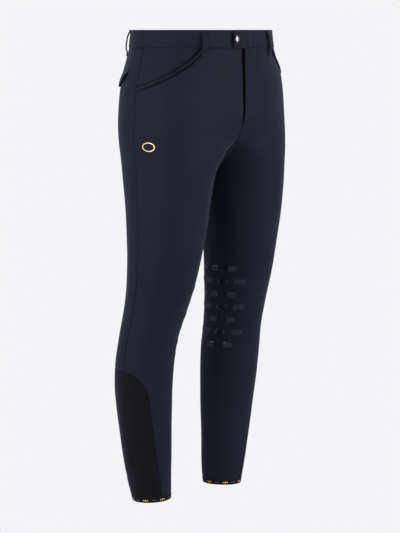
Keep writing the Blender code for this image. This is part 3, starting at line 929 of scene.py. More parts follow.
def seam_sink(points, from_edge, roll, pucker):
    """How far the cloth sinks into its seams, in metres."""
    sink = roll * (1 - ease(0.0, SEAM_ROLL_WIDTH, from_edge)) ** 2
    ripple = 0.5 + 0.5 * np.sin(points @ np.array(PUCKER_TURNS))
    puckers = pucker * ripple * np.exp(-from_edge / PUCKER_REACH) * (from_edge > PUCKER_FROM)
    return (sink + puckers)[:, None] * MM


def painted_shade_of(side, rounds, heights, from_edge):
    """How much painted shade each place has, 0 to 1: in the hollows of seams, beside the fly and tab,
    and just below the waistband.
    """
    painted_shade = np.clip(1 - from_edge / SEAM_SHADE_WIDTH, 0, 1)
    if side < 0:
        # The furrows beside the fly and round the tab's end are painted dark as shade, as well as sunk
        flat = surface_points(rounds, heights)
        painted_shade = np.maximum(painted_shade, fly_furrow(side, flat))
        painted_shade = np.maximum(painted_shade, TAB_SHADE * tab_furrow(flat))
    # Sheets tucked under the waistband get a painted shadow just below it
    if heights.min() < WAIST_SEAM - 1 and heights.max() < WAIST_SEAM + 2 * TUCK:
        waist = ease(WAIST_SHADE_HEIGHT, 0.0, WAIST_SEAM - heights)
        painted_shade = np.maximum(painted_shade, WAIST_SHADE * waist)
    return painted_shade


def unroll(piece, side, rounds, heights):
    """Gives a sheet its UV map, which runs in metres along and up the cloth."""
    uv = np.column_stack([arc_at(rounds, heights) * side, heights - hem_lean(rounds, heights)]) * MM
    corner_of = np.zeros(len(piece.data.loops), int)
    piece.data.loops.foreach_get("vertex_index", corner_of)
    layer = piece.data.uv_layers.new(name="cloth")
    layer.data.foreach_set("uv", uv[corner_of].ravel())


def set_values(piece, name, values):
    """Keeps a number for each vertex, for the piece's material."""
    piece.data.attributes.new(name, "FLOAT", "POINT").data.foreach_set("value", values)


def thicken(piece, thickness, edge, rim):
    """Gives a sheet its thickness inwards and rounds its edges."""
    apply_modifier(
        piece, "SOLIDIFY", thickness=thickness * MM, offset=-1.0, material_offset=1,
        material_offset_rim=rim, use_even_offset=False,
    )
    if edge:
        apply_modifier(
            piece, "BEVEL", width=edge * MM, segments=2, limit_method="ANGLE",
            angle_limit=math.radians(50), harden_normals=False,
        )
    smooth(piece)


def cloth_sheet(
    node_name, side, rows, thickness=CLOTH, materials=None, out=None,
    shade=None, ring=False, roll=SEAM_ROLL, edge=0.35, pucker=PUCKER, rim=0,
):
    """A sheet of cloth over rows of places, in place of one of the part's nodes.
    out(rounds, heights) says how far its outer face stands off, and shade(rounds, heights) where
    shade is painted into its colour. materials are for its two faces, and rim picks the one for its
    edges."""
    rounds, heights = np.concatenate(rows).T
    faces = grid_faces(rows)
    stand_off = out(rounds, heights) if out else 0.0
    points, normals = cloth_places(side, rounds, heights, stand_off)
    from_edge = distances_to(points, outline_of(faces, rows, ring)) + plain_seam(rounds, heights)
    points = points - normals * seam_sink(points, from_edge, roll, pucker)
    piece = new_piece(node_name + "_cloth", points, turned_outwards(faces, points, normals))
    unroll(piece, side, rounds, heights)
    # Painted shade of seams, furrows and whatever shade gives, kept on the vertices for the cloth's
    # colour
    painted_shade = painted_shade_of(side, rounds, heights, from_edge)
    set_values(piece, "painted_shade", np.maximum(painted_shade, shade(rounds, heights)) if shade else painted_shade)
    if ring:
        in_edit_mode(piece, lambda: bpy.ops.mesh.remove_doubles(threshold=0.00001))
    for material in materials or (navy_outside(), navy_inside()):
        piece.data.materials.append(material)
    thicken(piece, thickness, edge, rim)
    settle(piece, node_name)


# --------------------------------------------------------------------------- outlines

# The column of a front panel that meets the top of the pocket mouth, as a share of its width
MOUTH_TOP_SHARE = 0.385
MOUTH_TUCK_TURNS = 0.10
TAB_TUCK_ROUNDS = (0.085, 0.05)
DOME_POWER = 3.4


def pocket_places(turns, scale=1.0):
    """Places on the pocket mouth, from 0 at the waist seam to 1 at the side seam. scale draws a
    like curve nearer to or further from the corner where those two seams meet."""
    angle = np.asarray(turns, float) * math.pi / 2
    arcs = POCKET_WIDTH * scale * np.maximum(np.cos(angle), 0) ** (2 / POCKET_POWER)
    heights = WAIST_SEAM - POCKET_DROP * scale * np.sin(angle) ** (2 / POCKET_POWER)
    return row_of(round_at_arc(arcs, heights), heights)


def calf_top_row(rounds):
    """Places on the top edge of the calf insert, a low dome with round shoulders."""
    middle = (CALF_CORNER_FRONT + CALF_CORNER_BACK) / 2
    half = (CALF_CORNER_BACK - CALF_CORNER_FRONT) / 2
    off = np.abs(rounds - middle) / half
    return row_of(rounds, CALF_CORNER + (CALF_TOP - CALF_CORNER) * (1 - off**DOME_POWER))


def calf_edge(edge_name, heights):
    """Rounds of one long edge of the calf insert."""
    return table_at(CALF_EDGES, np.atleast_1d(heights))[edge_name]


def level_row(rounds, height):
    return row_of(rounds, tilted(rounds, np.full(len(rounds), float(height))))


def level_heights():
    """Heights of the leg's level rows, from below the hip to above the calf insert. They follow
    the round of the crotch seam and then run evenly."""
    quarter = np.sin(np.linspace(0, math.pi / 2, 25))[3:]
    crotch = FRONT_RISE_START + (CROTCH - FRONT_RISE_START) * quarter
    crotch = crotch[crotch < HIP_ROW - 2]
    below = np.arange(CROTCH - 3.0, ABOVE_CALF_ROW, -5.0)
    return np.concatenate([crotch, below, [ABOVE_CALF_ROW]])


def lower_heights():
    foot = HEM_LINE - HEM_TUCK
    return steps_between(CALF_CORNER, foot, CALF_CORNER - foot, fine_first=False)[1:]


def panel_columns(centre, corner, strip_width, shoulder_width):
    """Rounds of a panel's columns: a strip from the centre or inner leg to the calf insert's corner,
    and a shoulder from there to the side seam. The number of the strip's columns is given too."""
    strip = steps_between(centre, corner, strip_width)
    shoulder = steps_between(corner, 0.5, shoulder_width)
    return np.concatenate([strip, shoulder[1:]]), len(strip)


def leg_rows(top, rounds, strip_count, edge_name, centre):
    """The rows of a front or back panel, from its top row down."""
    hip = level_row(rounds, HIP_ROW)
    rows = [top] + blended_rows(top, hip, steps_between(0.0, 1.0, 120.0, fine_last=False)[1:])
    rows += [level_row(rounds, height) for height in level_heights()]
    strip, shoulder = rounds[:strip_count], rounds[strip_count:]
    calf_top = np.concatenate([row_of(strip, CALF_CORNER), calf_top_row(shoulder)])
    shares = steps_between(0.0, 1.0, 55.0, fine_first=False)[1:]
    rows += blended_rows(rows[-1], calf_top, shares)
    shares = (strip - centre) / (strip[-1] - centre)
    for height in lower_heights():
        edge = calf_edge(edge_name, height)
        rows.append(level_row(centre + (edge - centre) * shares, height))
    return rows


def front_rows():
    rounds, strip_count = panel_columns(-CENTRE_LAP, CALF_CORNER_FRONT, 190.0, 60.0)
    shares = rounds / 0.5
    mouth_column = int(np.argmin(np.abs(shares - MOUTH_TOP_SHARE)))
    mouth_share = shares[mouth_column]
    along = shares[:mouth_column] / mouth_share * pocket_places([0.0])[0, 0]
    waist = row_of(along, WAIST_SEAM + TUCK + TAB_TUCK * ease(*TAB_TUCK_ROUNDS, along))
    turns = (shares[mouth_column:] - mouth_share) / (1 - mouth_share)
    mouth = pocket_places(turns)
    mouth[:, 1] += TUCK * ease(MOUTH_TUCK_TURNS, 0.0, turns)
    return leg_rows(np.concatenate([waist, mouth]), rounds, strip_count, "front", 0.0)


def back_rows():
    rounds, strip_count = panel_columns(1 + CENTRE_LAP, CALF_CORNER_BACK, 115.0, 135.0)
    return leg_rows(row_of(rounds, WAIST_SEAM + TUCK), rounds, strip_count, "back", 1.0)


def calf_rows():
    rounds = steps_between(CALF_CORNER_FRONT, CALF_CORNER_BACK, 155.0)
    shares = (rounds - CALF_CORNER_FRONT) / (CALF_CORNER_BACK - CALF_CORNER_FRONT)
    lower = []
    for height in lower_heights():
        front, back = calf_edge("front", height), calf_edge("back", height)
        lower.append(level_row(front + (back - front) * shares, height))
    top = calf_top_row(rounds)
    upper = blended_rows(top, lower[0], steps_between(0.0, 1.0, 30.0, fine_last=False)[1:])
    return [top, *upper, *lower[1:]]


# --------------------------------------------------------------------------- materials

# Shares of a cloth's own colour: where its dye runs dark and pale, between the threads of its weave,
# and in the painted shade of seams and furrows, and how far that painted shade covers it
DYE_DARK, DYE_PALE = 0.86, 1.16
BETWEEN_THREADS = 0.80
PAINTED_SHADE_COLOUR = 0.12
PAINTED_SHADE_COVER = 0.92
FUZZ_GLOSS = 0.12
FUZZ_RELIEF = 0.30
CLOTH_SPECULAR = 0.09
SHEEN_TINT = (0.60, 0.63, 1.0)

# Marks on the hem tape, in metres: how far apart they repeat, and a half length and half height
# each. MARK_START keeps places along the tape above 0.
MARK_REPEAT = 0.036
MIDDLE_DOT = (0.0016, 0.0019)
OUTER_DOT = (0.0011, 0.0013)
OUTER_DOT_OFF = 0.0045
GREY_BAR = (0.0052, 0.0010)
MARK_START = 2.0
TAPE_BLACK = (0.0048, 0.0044, 0.0054)
BAR_GREY = (0.075, 0.075, 0.09)


def node(tree, kind, **values):
    made = tree.nodes.new(kind)
    for name, value in values.items():
        setattr(made, name, value)
    return made


def feed(socket, value):
    """Gives an input socket a link, a number or a colour."""
    if isinstance(value, bpy.types.NodeSocket):
        socket.id_data.links.new(value, socket)
    elif isinstance(value, (int, float)):
        socket.default_value = value
    else:
        socket.default_value = (*value, 1.0)


def feed_all(shader, **values):
    """Feeds sockets by their names, with _ for each space."""
    for name, value in values.items():
        feed(shader.inputs[name.replace("_", " ")], value)


def math_node(tree, operation, *values, clamp=False):
    """A Math node on sockets or numbers, and its output."""
    made = node(tree, "ShaderNodeMath", operation=operation, use_clamp=clamp)
    for socket, value in zip(made.inputs, values):
        feed(socket, value)
    return made.outputs[0]


def mixed(tree, factor, first, second, blend="MIX"):
    """A colour mix. Each of first and second is a socket or a colour."""
    made = node(tree, "ShaderNodeMix", data_type="RGBA", blend_type=blend)
    for number, value in ((0, factor), (6, first), (7, second)):
        feed(made.inputs[number], value)
    return made.outputs[2]


def noise(tree, scale, detail=2.0, where=None):
    """Noise of that many spots to the metre, on Object coordinates unless where says otherwise."""
    made = node(tree, "ShaderNodeTexNoise")
    place = where or node(tree, "ShaderNodeTexCoord").outputs["Object"]
    feed_all(made, Scale=scale, Detail=detail, Vector=place)
    return made.outputs[0]


def along_cloth(tree):
    """The cloth's own UV map, which runs in metres along and up it."""
    return node(tree, "ShaderNodeUVMap", uv_map="cloth").outputs[0]


def separated(tree, vector):
    made = node(tree, "ShaderNodeSeparateXYZ")
    feed(made.inputs[0], vector)
    return made.outputs


def scaled_colour(colour, share):
    return tuple(min(1.0, channel * share) for channel in colour)


def shades(colour, *shares):
    return [scaled_colour(colour, share) for share in shares]


def arrange(tree):
    """Lays a tree's nodes out in columns, each node to the left of all that it feeds."""
    column = {each.name: 0 for each in tree.nodes}
    for _ in tree.nodes:
        for each in tree.links:
            source, target = each.from_node.name, each.to_node.name
            column[source] = max(column[source], column[target] + 1)
    filled = dict.fromkeys(column.values(), 0)
    for each in tree.nodes:
        place = column[each.name]
        each.location = (-220 * place, -260 * filled[place])
        filled[place] += 1


def once(kind, name):
    """Has the function below make its material or node group only if there is none by that name."""
    def keep(make):
        def give():
            found = getattr(bpy.data, kind).get(name)
            if not found:
                found = make(name)
                arrange(found.node_tree if kind == "materials" else found)
            return found
        return give
    return keep


def new_group(name, inputs, outputs):
    """An empty shader node group, its inputs and its outputs. inputs are (name, kind, value)."""
    group = bpy.data.node_groups.new(name, "ShaderNodeTree")
    for socket_name, kind, value in inputs:
        socket = group.interface.new_socket(socket_name, in_out="INPUT", socket_type=kind)
        if value is not None:
            socket.default_value = value
    for socket_name in outputs:
        group.interface.new_socket(socket_name, in_out="OUTPUT", socket_type="NodeSocketFloat")
    entry, result = node(group, "NodeGroupInput"), node(group, "NodeGroupOutput")
    return group, entry.outputs, result.inputs


def weave_group(name, pitch, relief_of):
    """A group that gives a weave's relief, 0 to 1, on metre coordinates."""
    inputs = [("Vector", "NodeSocketVector", None), ("Pitch", "NodeSocketFloat", pitch)]
    group, given, results = new_group(name, inputs, ["Relief"])
    across, up, _ = separated(group, given["Vector"])
    feed(results["Relief"], relief_of(group, across, up, given["Pitch"]))
    return group


def twill_relief(tree, across, up, pitch):
    """Fine diagonal ribs with a thread running over them."""
    work = partial(math_node, tree)
    turn = work("DIVIDE", 2 * math.pi, pitch)
    along = work("ADD", across, work("MULTIPLY", up, 0.75))
    rib = work("SINE", work("MULTIPLY", along, turn))
    back = work("SUBTRACT", across, up)
    thread = work("SINE", work("MULTIPLY", back, work("MULTIPLY", turn, 1.7)))
    both = work("MULTIPLY_ADD", thread, 0.35, rib)
    return work("MULTIPLY_ADD", both, 0.37, 0.5)


def knit_relief(tree, across, up, pitch):
    """Fine upright ribs of a stretch knit, with a stitch step along each."""
    work = partial(math_node, tree)
    turn = work("DIVIDE", math.pi, pitch)
    rib = work("ABSOLUTE", work("SINE", work("MULTIPLY", across, turn)))
    rows = work("MULTIPLY", work("MULTIPLY", up, turn), 2.0)
    step = work("SINE", work("MULTIPLY_ADD", rib, 1.2, rows))
    return work("MULTIPLY_ADD", step, 0.18, rib)


@once("node_groups", "Twill")
def twill_group(name):
    return weave_group(name, 0.0008, twill_relief)


@once("node_groups", "Rib knit")
def knit_group(name):
    return weave_group(name, 0.0012, knit_relief)


@once("node_groups", "Cloth mottle")
def mottle_group(name):
    """Slow and fine unevenness of a dyed cloth, both 0 to 1, on Object coordinates."""
    inputs = [("Vector", "NodeSocketVector", None)]
    group, given, results = new_group(name, inputs, ["Slow", "Fine"])
    for output, scale in (("Slow", 9.0), ("Fine", 900.0)):
        feed(results[output], noise(group, scale, 3.0, given["Vector"]))
    return group


def new_material(name):
    """An empty procedural material: its node tree and its Principled shader."""
    made = bpy.data.materials.new(name)
    made.use_nodes = True
    return made, made.node_tree, made.node_tree.nodes["Principled BSDF"]


def roughen(tree, shader, grain, least, span):
    """Roughness that follows a grain, from its least over its span."""
    feed_all(shader, Roughness=math_node(tree, "MULTIPLY_ADD", grain, span, least))


def raise_surface(tree, shader, grain, height, strength=1.0):
    """Relief that follows a grain, that many metres high."""
    bump = node(tree, "ShaderNodeBump")
    feed_all(bump, Strength=strength, Distance=height, Height=grain)
    feed_all(shader, Normal=bump.outputs[0])


def cover(tree, shader, mask, colour):
    """Lays a colour over a material's own where the mask is 1."""
    base = shader.inputs["Base Color"]
    feed(base, mixed(tree, mask, base.links[0].from_socket, colour))


def grained(name, dark, pale, scale, detail=2.0):
    """A material whose colour runs from dark to pale with one fine grain, and that grain."""
    made, tree, shader = new_material(name)
    grain = noise(tree, scale, detail)
    feed_all(shader, Base_Color=mixed(tree, grain, dark, pale))
    return made, tree, shader, grain


def cloth_material(name, colour, weave, pitch, relief, rough, sheen, seams=True):
    """A woven or knitted cloth: weave relief, uneven dye and, when seams is set, shade painted along
    its seams and furrows.
    """
    made, tree, shader = new_material(name)
    woven = node(tree, "ShaderNodeGroup", node_tree=weave)
    feed_all(woven, Pitch=pitch, Vector=along_cloth(tree))
    mottle = node(tree, "ShaderNodeGroup", node_tree=mottle_group())
    feed_all(mottle, Vector=node(tree, "ShaderNodeTexCoord").outputs["Object"])
    slow, fine = mottle.outputs["Slow"], mottle.outputs["Fine"]
    dyed = mixed(tree, slow, *shades(colour, DYE_DARK, DYE_PALE))
    threads = mixed(tree, woven.outputs["Relief"], (BETWEEN_THREADS,) * 3, (1.0, 1.0, 1.0))
    feed_all(shader, Base_Color=mixed(tree, 1.0, dyed, threads, "MULTIPLY"))
    if seams:
        # Painted shade: the colour goes near black where the vertices' painted shade is high
        painted_shade = node(tree, "ShaderNodeAttribute", attribute_name="painted_shade").outputs["Fac"]
        dark = math_node(tree, "MULTIPLY", painted_shade, PAINTED_SHADE_COVER)
        cover(tree, shader, dark, scaled_colour(colour, PAINTED_SHADE_COLOUR))
    roughen(tree, shader, fine, rough - FUZZ_GLOSS / 2, FUZZ_GLOSS)
    height = math_node(tree, "MULTIPLY_ADD", fine, FUZZ_RELIEF, woven.outputs["Relief"])
    raise_surface(tree, shader, height, relief, 0.8)
    feed_all(
        shader, Specular_IOR_Level=CLOTH_SPECULAR, Sheen_Weight=sheen, Sheen_Roughness=0.42,
        Sheen_Tint=SHEEN_TINT,
    )
    return made


@once("materials", "Navy stretch twill")
def navy_outside(name):
    cloth = bpy.context.scene.breeches_cloth
    return cloth_material(
        name, cloth.navy, twill_group(), cloth.weave_pitch, relief=0.00006, rough=0.62, sheen=0.24
    )


@once("materials", "Navy brushed inside")
def navy_inside(name):
    colour = scaled_colour(bpy.context.scene.breeches_cloth.navy, 1.25)
    return cloth_material(
        name, colour, knit_group(), 0.0009, relief=0.00005, rough=0.85, sheen=0.20, seams=False
    )


@once("materials", "Flap lining")
def flap_lining_in_shade(name):
    """The pocketing cloth on the underside and edges of a flap, painted near black to stand in
    for the shade in the gap under the flap.
    """
    colour = scaled_colour(bpy.context.scene.breeches_trims.grip, 0.12)
    return cloth_material(
        name, colour, twill_group(), 0.0006, relief=0.00006, rough=0.85, sheen=0.0, seams=False
    )


@once("materials", "Black stretch knit")
def calf_outside(name):
    colour = bpy.context.scene.breeches_cloth.calf
    return cloth_material(
        name, colour, knit_group(), 0.0011, relief=0.00010, rough=0.74, sheen=0.26
    )


@once("materials", "Black knit inside")
def calf_inside(name):
    colour = scaled_colour(bpy.context.scene.breeches_cloth.calf, 1.3)
    return cloth_material(
        name, colour, knit_group(), 0.0011, relief=0.00006, rough=0.85, sheen=0.12, seams=False
    )


def tape_mark(tree, along, from_middle, place, half_length, half_height):
    """1 inside a mark with round corners, which repeats along the tape."""
    work = partial(math_node, tree)
    shifted = work("ADD", along, MARK_START + MARK_REPEAT / 2 - place)
    off = work("SUBTRACT", work("MODULO", shifted, MARK_REPEAT), MARK_REPEAT / 2)
    cubes = []
    for distance, half in ((off, half_length), (from_middle, half_height)):
        share = work("ABSOLUTE", work("DIVIDE", distance, half))
        cubes.append(work("POWER", share, 3.0))
    return work("LESS_THAN", work("ADD", *cubes), 1.0)


@once("materials", "Hem tape weave")
def tape_material(name):
    """Black woven tape with a plain row of gold dots in threes and grey bars between them."""
    made = cloth_material(
        name, TAPE_BLACK, knit_group(), 0.0007, relief=0.00012, rough=0.55, sheen=0.03, seams=False
    )
    tree = made.node_tree
    shader = tree.nodes["Principled BSDF"]
    along, height, _ = separated(tree, along_cloth(tree))
    below_line = math_node(tree, "SUBTRACT", height, HEM_LINE * MM)
    where = (tree, along, math_node(tree, "ADD", below_line, TAPE_HEIGHT / 2 * MM))
    dots = tape_mark(*where, 0.0, *MIDDLE_DOT)
    for place in (-OUTER_DOT_OFF, OUTER_DOT_OFF):
        dots = math_node(tree, "MAXIMUM", dots, tape_mark(*where, place, *OUTER_DOT))
    cover(tree, shader, tape_mark(*where, MARK_REPEAT / 2, *GREY_BAR), BAR_GREY)
    cover(tree, shader, dots, bpy.context.scene.breeches_trims.gold)
    return made


@once("materials", "Sewing thread")
def thread_material(name):
    colour = bpy.context.scene.breeches_trims.thread
    made, tree, shader, grain = grained(name, *shades(colour, 0.6, 1.5), 1600.0)
    raise_surface(tree, shader, grain, 0.00006)
    feed_all(shader, Roughness=0.5, Specular_IOR_Level=0.12)
    return made


@once("materials", "Polished button metal")
def steel_material(name):
    """Polished steel with fine scratches. It shows only inside a narrow upright oval off the
    button's middle, a painted highlight; round that the metal is painted near black.
    """
    made, tree, shader, grain = grained(
        name, (0.50, 0.50, 0.53), (0.66, 0.66, 0.70), 420.0, detail=5.0
    )
    # Painted highlight: near black beyond the oval, so only the oval shows as bright steel
    radius = node(tree, "ShaderNodeAttribute", attribute_name="from_middle").outputs["Fac"]
    past = math_node(tree, "SUBTRACT", radius, 1.0)
    cover(tree, shader, math_node(tree, "MULTIPLY", past, 9.0, clamp=True), (0.035, 0.035, 0.045))
    roughen(tree, shader, grain, 0.12, 0.14)
    raise_surface(tree, shader, noise(tree, 3000.0), 0.00002, 0.25)
    feed_all(shader, Metallic=1.0)
    return made


@once("materials", "Gold gel print")
def gold_material(name):
    """Glossy metallic print with a fine orange-peel surface."""
    colour = bpy.context.scene.breeches_trims.gold
    made, tree, shader, grain = grained(name, *shades(colour, 0.88, 1.12), 900.0)
    raise_surface(tree, shader, grain, 0.00003, 0.4)
    feed_all(shader, Metallic=0.75, Roughness=0.32)
    return made


@once("materials", "Grip silicone")
def grip_material(name):
    """Dark glossy silicone."""
    colour = bpy.context.scene.breeches_trims.grip
    made, tree, shader, grain = grained(name, *shades(colour, 0.8, 1.25), 240.0, detail=4.0)
    roughen(tree, shader, grain, 0.13, 0.12)
    raise_surface(tree, shader, grain, 0.0001, 0.3)
    feed_all(shader, Specular_IOR_Level=0.55, Specular_Tint=(0.78, 0.84, 1.0))
    return made


def camera_sees(tree, light, plain):
    """A shader that shows one plain colour to the camera and lights the scene as another."""
    path = node(tree, "ShaderNodeLightPath")
    mix = node(tree, "ShaderNodeMixShader")
    for socket, value in zip(mix.inputs, (path.outputs["Is Camera Ray"], light, plain)):
        feed(socket, value)
    return mix.outputs[0]


@once("materials", "Pale studio floor")
def floor_material(name):
    pale = bpy.context.scene.breeches_stage.backdrop
    made, tree, shader, _ = grained(name, *shades(pale, 0.30, 0.31), 3.0)
    feed_all(shader, Roughness=1.0, Specular_IOR_Level=0.0)
    glow = node(tree, "ShaderNodeEmission")
    feed_all(glow, Color=pale)
    seen = camera_sees(tree, shader.outputs[0], glow.outputs[0])
    feed_all(tree.nodes["Material Output"], Surface=seen)
    return made


# --------------------------------------------------------------------------- pieces of cloth


def make_leg_panels(side):
    name = SIDE_NAMES[side]
    # Painted shadows: under the pocket's rolled mouth on the front panel, under the flap's ends on the
    # back
    cloth_sheet(f"front_panel_{name}", side, front_rows(), out=mouth_out, shade=mouth_shade)
    cloth_sheet(f"back_panel_{name}", side, back_rows(), shade=flap_shade)
    cloth_sheet(
        f"calf_insert_{name}", side, calf_rows(), STRETCH_CLOTH, (calf_outside(), calf_inside()),
    )


TAPE_DROPS = (0, 0.6, 1.6, 3.4, 6.6, 8.4, 9.4, TAPE_HEIGHT)


def make_hem_tape(side):
    rounds = np.linspace(0.0, 1.0, 97)
    rows = [level_row(rounds, HEM_LINE - drop) for drop in TAPE_DROPS]
    cloth_sheet(
        f"hem_tape_{SIDE_NAMES[side]}", side, rows, TAPE, (tape_material(),) * 2,
        ring=True, roll=0.25, pucker=0.05, edge=0.45,
        out=lambda rounds, heights: np.full(len(rounds), TAPE_OUT),
    )


# The rolled mouth's painted shadow on the front panel, in nearness to the mouth, and how it fades in
# below the waist seam and away from the side seam
MOUTH_SHADE_BELOW_WAIST = (0.0, 16.0)
MOUTH_SHADE_FROM_SIDE = (3.0, 26.0)

# The open mouth: how far from the side seam it gapes, the least share of its dip, how it closes up
# at the waist seam, and where the dip begins
MOUTH_GAPES = (28.0, 96.0)
LEAST_DIP = 0.12
DIP_BELOW_WAIST = (-2.0, 12.0)
DIP_NEAR_MOUTH = (0.80, 0.97)
FACING_CLEARANCE = 0.5
FACING_PASSES_BACK = (0.87, 0.93)


def facing_nearness(rounds, heights):
    """1 on the pocket mouth, and less towards the corner of the waist and side seams."""
    across = (np.maximum(arc_at(rounds, heights), 0) / POCKET_WIDTH) ** POCKET_POWER
    down = (np.maximum(WAIST_SEAM - heights, 0) / POCKET_DROP) ** POCKET_POWER
    return (across + down) ** (1 / POCKET_POWER)


def mouth_shade(rounds, heights):
    """1 in the narrow painted shadow that the rolled mouth casts on the front panel below it."""
    near = facing_nearness(rounds, heights)
    down = ease(*MOUTH_SHADE_BELOW_WAIST, WAIST_SEAM - heights)
    ahead = ease(*MOUTH_SHADE_FROM_SIDE, arc_at(rounds, heights))
    return down * ahead * np.exp(-(np.abs((near - MOUTH_SHADE_AT) / MOUTH_SHADE_WIDTH) ** 3))


def mouth_out(rounds, heights):
    """The front panel sinks a little along that shadow."""
    return -MOUTH_SINK * mouth_shade(rounds, heights)


def facing_out(rounds, heights):
    """The facing sinks under the front panel, deepest where the mouth stands open."""
    near = facing_nearness(rounds, heights)
    ahead = LEAST_DIP + (1 - LEAST_DIP) * ease(*MOUTH_GAPES, arc_at(rounds, heights))
    ahead = ahead * ease(*DIP_BELOW_WAIST, WAIST_SEAM - heights)
    under = (CLOTH + SEAM_GAP + FACING_CLEARANCE) * ease(*FACING_SINK, near)
    return -under - POCKET_DIP * ahead * ease(*DIP_NEAR_MOUTH, near)


def make_pocket_facing(side):
    """The cloth inside the pocket mouth. It passes under the front panel."""
    foot = pocket_places(steps_between(1.0, 0.07, 140.0, step=3.5), FACING_REACH)
    top = row_of(foot[:, 0], WAIST_SEAM + FACING_TUCK)
    upper = steps_between(0.0, 0.70, 60.0, step=4.0, fine_last=False)
    rows = blended_rows(top, foot, np.concatenate([upper, np.linspace(0.72, 1.0, 20)]))
    for row in rows:
        near = facing_nearness(*row[:1].T)
        row[0, 0] += FACING_UNDER_BACK * ease(*FACING_PASSES_BACK, near)[0]
    cloth_sheet(f"pocket_facing_{SIDE_NAMES[side]}", side, rows, FACING_LAYER, out=facing_out)


PIPING_LAYER = 0.6
PIPING_END = 0.985
PIPING_START_WIDTH = 0.15
PIPING_END_WIDTH = 0.2
PIPING_OUT = 0.15


def make_pocket_piping(side):
    """The rolled edge of the pocket mouth. It turns from under the front panel's edge over its top."""
    turns = np.linspace(0.0, PIPING_END, 61)
    width = PIPING_START_WIDTH + (1 - PIPING_START_WIDTH) * ease(0.0, PIPING_TAPER, turns)
    width = width * (PIPING_END_WIDTH + (1 - PIPING_END_WIDTH) * ease(1.0, 0.92, turns))
    inner, outer = PIPING_SPAN
    rows, lifts = [], []
    for angle in np.radians(np.linspace(PIPING_TURN, 0.0, 13)):
        scale = (inner + outer) / 2 + math.cos(angle) * (outer - inner) / 2
        rows.append(pocket_places(turns, 1 + (scale - 1) * width))
        lifts.append(PIPING_OUT + PIPING_HEIGHT * math.sin(angle) * np.sqrt(width))
    lift = np.concatenate(lifts)
    cloth_sheet(
        f"pocket_piping_{SIDE_NAMES[side]}", side, rows, PIPING_LAYER, roll=0.0, pucker=0.12,
        edge=0.0, out=lambda rounds, heights: lift,
    )


# The back flap's ends, in rounds: how far in each one lifts and how much of the lift the back one
# has, how far in the cloth under them has a painted shadow, and how that shadow starts before the
# flap's front
FRONT_END_LIFTS, BACK_END_LIFTS = 0.045, 0.04
BACK_END_SHARE = 0.5
END_SHADE = (0.05, 0.02)
SHADE_BEFORE = (0.015, 0.005)
SHADE_BEHIND = 0.004
FLAP_FLUSH = 0.35
FLAP_HINGE = (-0.25, 0.8)


def flap_foot(rounds):
    """Height of the flap's free edge, which hangs lowest in the middle."""
    off = np.abs(rounds - (FLAP_FROM + FLAP_TO) / 2) / ((FLAP_TO - FLAP_FROM) / 2)
    return FLAP_TOP - FLAP_DROP * (FLAP_END + (1 - FLAP_END) * (1 - off**2.2))


def flap_out(rounds, heights):
    """The flap is flush along its top, where it comes out of a slit in the back panel. Below that
    it stands off towards its free edge, and its ends lift."""
    down = (FLAP_TOP - heights) / FLAP_DROP
    free = np.clip((down - FLAP_WELT) / (1 - FLAP_WELT), 0.0, 1.0)
    ends = ease(FRONT_END_LIFTS, 0.0, rounds - FLAP_FROM)
    ends = ends + BACK_END_SHARE * ease(BACK_END_LIFTS, 0.0, FLAP_TO - rounds)
    lift = FLAP_LIFT * ends * np.sin(math.pi * free**0.8)
    hinged = ease(*FLAP_HINGE, free) - ease(*FLAP_HINGE, 0.0)
    return FLAP_FLUSH * ease(0.0, 0.06, down) + FLAP_STAND_OFF * hinged + lift


def flap_shade(rounds, heights):
    """Painted shadow: 1 on the cloth under and just before the flap's lifted ends, and 0 clear of
    them.
    """
    ends = ease(*END_SHADE, rounds - FLAP_FROM) + ease(*END_SHADE, FLAP_TO - rounds)
    before, close = SHADE_BEFORE
    on = ease(FLAP_FROM - before, FLAP_FROM - close, rounds)
    on = on * ease(FLAP_TO + SHADE_BEHIND, FLAP_TO, rounds)
    inside = ease(-1.0, 2.0, heights - flap_foot(rounds)) * ease(0.0, 3.0, FLAP_TOP - heights)
    return ends * on * inside


def make_back_flap(side):
    rounds = steps_between(FLAP_FROM, FLAP_TO, 108.0, step=3.0)
    top, foot = row_of(rounds, FLAP_TOP), row_of(rounds, flap_foot(rounds))
    rows = blended_rows(top, foot, steps_between(0.0, 1.0, FLAP_DROP, step=3.0))
    # The flap's underside and edges take the near-black lining, which stands in for the shade under it
    cloth_sheet(
        f"back_flap_{SIDE_NAMES[side]}", side, rows, FLAP_LAYER, (navy_outside(), flap_lining_in_shade()),
        out=flap_out, roll=0.35, edge=0.5, rim=1,
    )


# Where the waistband is full, in rounds, and how blunt the tab's corners are
CROWN_ROUNDS = (0.06, 0.12)
TAB_BLUNTNESS = 0.985


def waistband_out(rounds, heights):
    """The band stands proud, is a little fuller along its middle away from the tab, and rolls
    into the seam at its foot."""
    middle = 1 - (2 * heights / WAIST_SEAM - 1) ** 4
    foot = (1 - ease(WAIST_SEAM, WAIST_SEAM + WAIST_ROLL_HEIGHT, heights)) ** 2
    full = WAISTBAND_CROWN * middle * ease(*CROWN_ROUNDS, rounds)
    return WAISTBAND_OUT + full - WAIST_ROLL * foot


def tab_out(rounds, heights):
    """The left band, which steps out over the right one as the tab."""
    over = (TAB_OUT - WAISTBAND_OUT) * (1 - ease(*TAB_RAMP, rounds))
    return waistband_out(rounds, heights) + over


